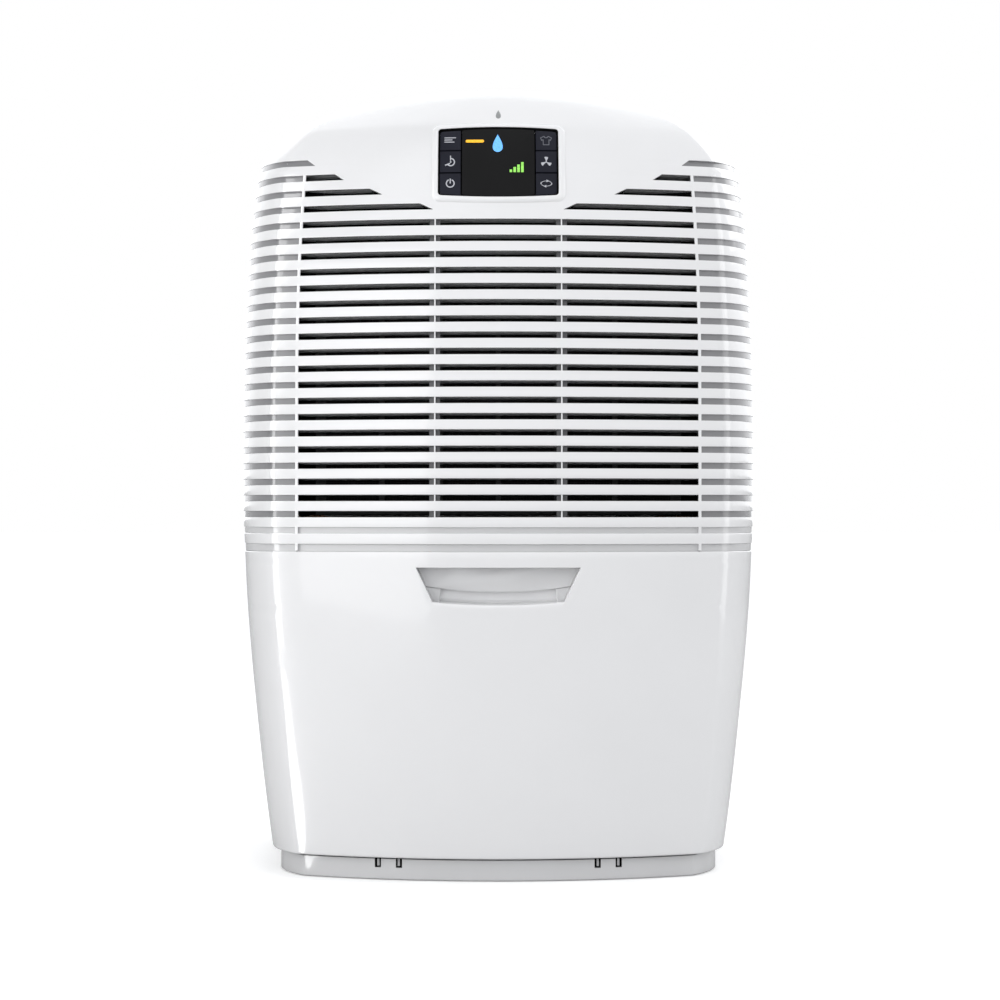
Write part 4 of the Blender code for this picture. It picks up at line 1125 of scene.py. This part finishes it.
rings = [on_front(between(t), w) for t, w in ((0, -6), (0, 0.8), (0.03, 1.1), (0.08, 1.33), (0.16, 1.47), (0.28, 1.52), (0.42, 1.47),
                                            (0.56, 1.34), (0.7, 1.1), (0.82, 0.8), (0.92, 0.42), (0.98, 0.1), (1.0, -0.15), (1.0, -0.5),
                                            (0.6, -0.5), (0.45, -6))]
n = len(inner_edge)
verts, faces = [], []
for ring in rings:
    verts += ring
for k in range(len(rings)):
    faces += ring_faces(k * n, ((k + 1) % len(rings)) * n, n)
make("panel_bezel", verts, faces, "bezel_white", replaces=("control_bezel",), angle=50)
rings = [on_front(between(t), w) for t, w in ((-0.12, -3), (-0.12, 0.62), (-0.08, 0.7), (0.0, 0.76), (0.02, 0.7), (0.02, -3))]
n = len(inner_edge)
verts, faces = [], []
for ring in rings:
    verts += ring
for k in range(len(rings)):
    faces += ring_faces(k * n, ((k + 1) % len(rings)) * n, n)
make("panel_gasket", verts, faces, "void_black", angle=40)
pad("panel_carrier", outline(WINDOW_HALF - 0.1, (WINDOW_Z[0] + 0.1, WINDOW_Z[1] - 0.1), 1.4, 1.9), [(-6, 0), (-4.1, 0)],
    "void_black", replaces=("button_carrier",))
pad("display_pane", outline(23.9, (WINDOW_Z[0] + 0.3, WINDOW_Z[1] - 0.3), 1.15, 0.6), [(-3.2, 0), (-0.1, 0), (0.05, 0.15)],
    "display_black", replaces=("display_window",), angle=30)

BUTTON_Z = ((448.25, 462.3), (463.1, 477.6), (478.4, 491.5))
KEYS = {(-1, 0): ("power", "power_key", "button_power"), (-1, 1): ("timer", "timer_key", "button_timer"),
        (-1, 2): ("mode", "mode_key", "button_mode"), (1, 0): ("swing", "swing_key", "button_swing"),
        (1, 1): ("fan", "fan_speed_key", "button_fan_speed"), (1, 2): ("garment", "laundry_key", "button_laundry")}


def key_outline(side, row):
    z0, z1 = BUTTON_Z[row]
    x0, x1 = 24.6, 38.35
    n = 5
    lift = (lambda x: 1.25 * (1 - (x / 38.9) ** 2) - 0.0)
    top = [(x0 + (x1 - x0) * i / n) for i in range(n + 1)]
    points = []
    for x in top:
        points.append((x, z0 - (lift(x) if row == 0 else 0.0)))
    for x in top[::-1]:
        points.append((x, z1 + (lift(x) if row == 2 else 0.0)))
    if row in (0, 2):  # the outer corner follows the window's rounded corner
        r = 1.7
        i = n if row == 0 else n + 1
        x, z = points[i]
        s = 1 if row == 0 else -1
        corner = [(x - r + r * math.sin(math.radians(a)), z + s * (r - r * math.cos(math.radians(a)))) for a in (0, 30, 60, 90)]
        points[i:i + 1] = corner if row == 0 else corner[::-1]
    return [(side * x, z) for x, z in (points if side > 0 else points[::-1])]


for (side, row), (name, body, node) in KEYS.items():
    pad(f"key_{name}", key_outline(side, row), [(-2.6, 0), (-0.15, 0), (0.12, 0.1), (0.25, 0.32)], "button_black", body,
        (node,), crown=0.12, angle=28)


# ---------------------------------------------------------------- printed symbols, all generic
def decal(name, shapes, mat, body, w=0.42, centre=(0, 0), thick=0.05):
    """Flat closed outlines (u, v in mm) laid on the panel as thin printed patches."""
    verts, faces = [], []
    for shape in shapes:
        points = [(centre[0] + u, centre[1] + v) for u, v in shape]
        if sum((b[0] - a[0]) * (b[1] + a[1]) for a, b in zip(points, points[1:] + points[:1])) > 0:
            points = points[::-1]
        n, base = len(points), len(verts)
        verts += on_front(points, w - thick) + on_front(points, w)
        faces.append(tuple(base + i for i in range(n))[::-1])
        faces.append(tuple(base + n + i for i in range(n)))
        faces += ring_faces(base, base + n, n)
    return make(name, verts, faces, mat, body, (), 30, False, False)


def stroke(points, width, closed=False):
    """A line of quads along points."""
    shapes = []
    pairs = list(zip(points, points[1:])) + ([(points[-1], points[0])] if closed else [])
    for (xa, ya), (xb, yb) in pairs:
        d = math.hypot(xb - xa, yb - ya)
        if d < 1e-6:
            continue
        ux, uy = (xb - xa) / d, (yb - ya) / d
        e = width * 0.28
        xa, ya, xb, yb = xa - ux * e, ya - uy * e, xb + ux * e, yb + uy * e
        nx, ny = -uy * width / 2, ux * width / 2
        shapes.append([(xa + nx, ya + ny), (xa - nx, ya - ny), (xb - nx, yb - ny), (xb + nx, yb + ny)])
    return shapes


def arc_points(radius, start, end, n=14, cx=0.0, cy=0.0, squash=1.0):
    return [(cx + radius * math.cos(math.radians(start + (end - start) * i / n)),
             cy + squash * radius * math.sin(math.radians(start + (end - start) * i / n))) for i in range(n + 1)]


def band(radius, width, start, end, n=18, cx=0.0, cy=0.0, squash=1.0):
    out = arc_points(radius + width / 2, start, end, n, cx, cy, squash)
    back = arc_points(radius - width / 2, end, start, n, cx, cy, squash)
    return [[out[i], out[i + 1], back[n - i - 1], back[n - i]] for i in range(n)]


def disc(radius, cx=0.0, cy=0.0, n=18):
    return [arc_points(radius, 0, 360 - 360 / n, n - 1, cx, cy)]


def drop(scale, cx=0.0, cy=0.0, n=20):
    points = []
    for i in range(n):
        a = math.tau * i / n
        r = 1.0
        x = r * math.sin(a) * (math.sin(a / 2) ** 1.4)
        y = -math.cos(a) * -1.0
        points.append((cx + scale * 0.92 * x, cy + scale * 1.25 * y))
    return [points]


power = band(2.55, 0.75, 112, 428) + stroke([(0, 0.2), (0, 3.0)], 0.75)
timer = band(2.5, 0.75, -140, 100, cx=0.2, cy=-0.3) + stroke([(0.1, 0.9), (0.1, 4.0)], 0.6) + disc(0.55, 0.2, -0.2) \
    + stroke([(-3.3, -2.4), (-0.4, -1.3)], 0.8)
mode = stroke([(-3.6, 1.5), (3.6, 1.5)], 0.62) + stroke([(-3.6, 0), (1.2, 0)], 0.62) + stroke([(-3.6, -1.5), (2.6, -1.5)], 0.62)
shirt = stroke([(-1.3, 3.0), (-3.6, 1.9), (-2.9, 0.1), (-1.9, 0.6), (-1.9, -3.0), (1.9, -3.0), (1.9, 0.6), (2.9, 0.1), (3.6, 1.9), (1.3, 3.0)], 0.5) \
    + stroke(arc_points(1.35, 200, 340, 6, 0, 3.3), 0.5)
fan = []
for k in range(3):
    a = math.radians(90 + 120 * k)
    blade = [(0.45, -0.22), (1.7, -0.75), (3.1, -1.35), (3.55, -0.6), (3.6, 0.35), (3.3, 1.25), (1.9, 0.6), (0.45, 0.22)]
    fan.append([(x * math.cos(a) - y * math.sin(a), x * math.sin(a) + y * math.cos(a)) for x, y in blade])
fan += disc(0.5)
loop = band(3.5, 0.62, 25, 165, squash=0.5) + band(3.5, 0.62, 205, 345, squash=0.5) \
    + [[(0.0, 0.95), (0.1, 2.7), (1.9, 1.75)], [(0.0, -0.95), (-0.1, -2.7), (-1.9, -1.75)]] + stroke([(-3.5, -0.3), (-3.45, 0.5)], 0.62) \
    + stroke([(3.5, -0.4), (3.45, 0.4)], 0.62)
for key, shapes, centre in (("power", power, (-31.4, 455.4)), ("timer", timer, (-31.4, 470.2)), ("mode", mode, (-31.6, 485.4)),
                            ("swing", loop, (31.4, 455.3)), ("fan", fan, (31.4, 470.0)), ("garment", shirt, (31.4, 485.0))):
    body = {"power": "power_key", "timer": "timer_key", "mode": "mode_key", "swing": "swing_key", "fan": "fan_speed_key",
            "garment": "laundry_key"}[key]
    decal(f"symbol_{key}", shapes, "icon_dim" if key == "garment" else "icon_grey", body, centre=centre, w=0.43)
# Lit display: an amber dash, a blue droplet and green level bars.
decal("lit_dash", [[(-5.4, -1.0), (5.4, -1.0), (6.0, -0.4), (6.0, 0.4), (5.4, 1.0), (-5.4, 1.0), (-6.0, 0.4), (-6.0, -0.4)]], "lit_amber",
      "casing", w=0.2, centre=(-15.4, 484.6))
decal("lit_droplet", drop(5.0, 0, 0, 28), "lit_blue", "casing", w=0.2, centre=(-0.4, 483.2))
bars = [[(-4.6 + 2.5 * i, -3.4), (-2.9 + 2.5 * i, -3.4), (-2.9 + 2.5 * i, -1.6 + 1.7 * i), (-4.6 + 2.5 * i, -1.6 + 1.7 * i)] for i in range(4)]
decal("lit_level", bars, "lit_green", "casing", w=0.2, centre=(12.0, 466.4))
# Generic droplet printed above the panel.
decal("printed_droplet", drop(2.6, 0, 0, 28), "mark_grey", "casing", w=0.06, centre=(0.0, 504.5), thick=0.1)

# ---------------------------------------------------------------- inside
mesh = rounded_box_mesh((-119, -119.9, 241), (119, -118.9, 426), 0.2, 1)
cloth, tree, shader = new_material("filter_mesh")
coord = tree.nodes.new("ShaderNodeTexCoord")
lines = []
for axis in ("X", "Z"):
    wave = tree.nodes.new("ShaderNodeTexWave")
    wave.wave_type, wave.bands_direction = "BANDS", axis
    wave.inputs["Scale"].default_value = 160
    tree.links.new(coord.outputs["Object"], wave.inputs["Vector"])
    lines.append(wave)
most = tree.nodes.new("ShaderNodeMath")
most.operation = "MAXIMUM"
for i, wave in enumerate(lines):
    tree.links.new(wave.outputs["Fac"], most.inputs[i])
tone = ramp(tree, most.outputs[0], [(0.55, (0.003, 0.003, 0.003)), (0.9, (0.016, 0.016, 0.017))])
tree.links.new(tone.outputs["Color"], shader.inputs["Base Color"])
bump(tree, shader, most.outputs[0], 0.4, 0.0003)
shader.inputs["Roughness"].default_value = 0.9
shader.inputs["Specular IOR Level"].default_value = 0.15
place("filter_cloth", mesh, "filter_mesh", "casing", angle=30)

# Painted shade: a black sheet behind the louvres around the filter, so the slots read dark.
mesh = rounded_box_mesh((-134, -116.9, 238.5), (134, -116.4, 456), 0.15, 1)
place("filter_shadow_sheet", mesh, "void_black", "casing", angle=30)

CAD_SLOT = {entry["node"]: entry["material_slot"] for entry in frame["record"]["subparts"]}
for node, obj in NODES.items():
    slot = CAD_SLOT.get(node)
    if slot in MATS and obj.type == "MESH":
        if not obj.material_slots:
            obj.data.materials.append(MATS[slot])
        for holder in obj.material_slots:
            holder.material = MATS[slot]
NODES["rear_handle_cup"].material_slots[0].material = MATS["white_abs"]

# ---------------------------------------------------------------- stage, light, camera
FLOOR_GLOW, AMBIENT = 0.28, 1.07
scene = bpy.context.scene
floor_mat, tree, shader = new_material("floor_pale")
noise = link_noise(tree, 3, 2)
tone = ramp(tree, noise.outputs["Fac"], [(0.3, (0.90, 0.90, 0.90)), (0.7, (0.92, 0.92, 0.92))])
tree.links.new(tone.outputs["Color"], shader.inputs["Base Color"])
shader.inputs["Roughness"].default_value = 0.7
shader.inputs["Specular IOR Level"].default_value = 0.0
shader.inputs["Emission Color"].default_value = (1, 1, 1, 1)
shader.inputs["Emission Strength"].default_value = FLOOR_GLOW
dim = tree.nodes.new("ShaderNodeBsdfDiffuse")
dim.inputs["Color"].default_value = (0.53, 0.53, 0.53, 1)
ray, choose = tree.nodes.new("ShaderNodeLightPath"), tree.nodes.new("ShaderNodeMixShader")
tree.links.new(ray.outputs["Is Camera Ray"], choose.inputs[0])
tree.links.new(dim.outputs[0], choose.inputs[1])
tree.links.new(shader.outputs[0], choose.inputs[2])
tree.links.new(choose.outputs[0], tree.nodes["Material Output"].inputs["Surface"])
bpy.ops.mesh.primitive_plane_add(size=60, location=(0, 0, 0))
floor = bpy.context.object
floor.name = "floor"
floor.data.materials.append(floor_mat)

world = bpy.data.worlds.new("studio")
scene.world = world
world.use_nodes = True
wt = world.node_tree
wt.nodes.clear()
out = wt.nodes.new("ShaderNodeOutputWorld")
mix = wt.nodes.new("ShaderNodeMixShader")
path = wt.nodes.new("ShaderNodeLightPath")
lit, seen = wt.nodes.new("ShaderNodeBackground"), wt.nodes.new("ShaderNodeBackground")
lit.inputs["Color"].default_value = (0.97, 0.98, 1.0, 1)
lit.inputs["Strength"].default_value = AMBIENT
where, split = wt.nodes.new("ShaderNodeTexCoord"), wt.nodes.new("ShaderNodeSeparateXYZ")
wt.links.new(where.outputs["Generated"], split.inputs[0])
turn = wt.nodes.new("ShaderNodeMath")
turn.operation = "ARCTAN2"
wt.links.new(split.outputs["X"], turn.inputs[0])
wt.links.new(split.outputs["Y"], turn.inputs[1])
spread = wt.nodes.new("ShaderNodeMapRange")
for name, value in (("From Min", -math.pi), ("From Max", math.pi), ("To Min", 0.0), ("To Max", 1.0)):
    spread.inputs[name].default_value = value
wt.links.new(turn.outputs[0], spread.inputs["Value"])
sky = wt.nodes.new("ShaderNodeValToRGB")
stops = [(0.0, 1.19), (0.08, 1.17), (0.115, 0.5), (0.22, 0.46), (0.34, 0.60), (0.41, 1.4), (0.60, 1.25), (0.72, 1.0), (0.86, 0.88),
         (0.93, 1.06), (1.0, 1.19)]
while len(sky.color_ramp.elements) < len(stops):
    sky.color_ramp.elements.new(0.5)
for element, (at, level) in zip(sky.color_ramp.elements, stops):
    element.position = at
    element.color = (level * 0.97, level * 0.98, level, 1)
wt.links.new(spread.outputs["Result"], sky.inputs["Fac"])
high = wt.nodes.new("ShaderNodeValToRGB")
for element, (at, level) in zip(high.color_ramp.elements, ((0.1, 1.0), (0.85, 0.80))):
    element.position = at
    element.color = (level, level, level, 1)
wt.links.new(split.outputs["Z"], high.inputs["Fac"])
both = wt.nodes.new("ShaderNodeMix")
both.data_type, both.blend_type = "RGBA", "MULTIPLY"
both.inputs["Factor"].default_value = 1.0
wt.links.new(sky.outputs["Color"], both.inputs["A"])
wt.links.new(high.outputs["Color"], both.inputs["B"])
wt.links.new(both.outputs["Result"], lit.inputs["Color"])
seen.inputs["Color"].default_value = (1, 1, 1, 1)
seen.inputs["Strength"].default_value = 1.0
wt.links.new(path.outputs["Is Camera Ray"], mix.inputs[0])
wt.links.new(lit.outputs[0], mix.inputs[1])
wt.links.new(seen.outputs[0], mix.inputs[2])
wt.links.new(mix.outputs[0], out.inputs[0])


def area(name, location, target, size, power, colour=(1, 1, 1)):
    light = bpy.data.lights.new(name, "AREA")
    light.shape, light.size, light.size_y = "RECTANGLE", size[0], size[1]
    light.energy, light.color = power, colour
    obj = bpy.data.objects.new(name, light)
    scene.collection.objects.link(obj)
    obj.location = location
    obj.rotation_euler = (Vector(target) - Vector(location)).to_track_quat("-Z", "Y").to_euler()
    return obj


strip = area("strip_left", (-1.267, -0.803, 0.45), (-0.12, -0.13, 0.28), (0.27, 1.9), 9.4)
strip.visible_diffuse = False
fill = area("fill_left", (-1.28, -0.80, 0.45), (-0.12, -0.13, 0.28), (0.27, 1.9), 8.6)
fill.visible_glossy = False
# The strip's own reflection in the pale table, which the lower casing mirrors.
foot, turned = front_at(-132.2, 25.0)
foot, turned = Vector((foot.x, foot.y, 0)) * 0.001, Vector((turned.x, turned.y, 0)).normalized()
sight = (foot - Vector((0, -0.1675 - 1.95, 0))).normalized()
away = (sight - 2 * sight.dot(turned) * turned).normalized()
for number in range(22):
    near, far = 0.012 * 1.222 ** number, 0.012 * 1.222 ** (number + 1)
    middle = (near + far) / 2
    wide = (0.185 - 0.085 * min(1.0, middle / 0.45)) * middle
    spot = foot + away * middle + Vector((0, 0, 0.003))
    pool = area(f"strip_pool_{number}", spot, spot + Vector((0, 0, 1)), (far - near, wide), 18.0 * (far - near) * wide)
    pool.rotation_euler = (math.pi, 0, math.atan2(away.y, away.x))
    pool.visible_camera = pool.visible_diffuse = False
area("key_left", (-1.3, -2.1, 0.6), (0, 0, 0.25), (1.4, 1.2), 6.6)
area("soft_right", (1.7, -0.35, 0.5), (0.15, 0, 0.3), (1.0, 1.8), 6.8)
area("back_right", (1.6, 1.6, 1.6), (0, 0, 0.3), (1.6, 1.6), 8)

camera_data = bpy.data.cameras.new("camera")
camera = bpy.data.objects.new("camera", camera_data)
scene.collection.objects.link(camera)
camera.location = (0, -0.1675 - 1.95, 0.242)
camera.rotation_euler = (math.pi / 2, 0, 0)
camera_data.lens, camera_data.sensor_width = 108.5, 36
camera_data.shift_x, camera_data.shift_y = 0.0017, 0.010
camera_data.clip_start = 0.05
scene.camera = camera
scene.view_settings.view_transform = "Standard"
scene.view_settings.look = "None"
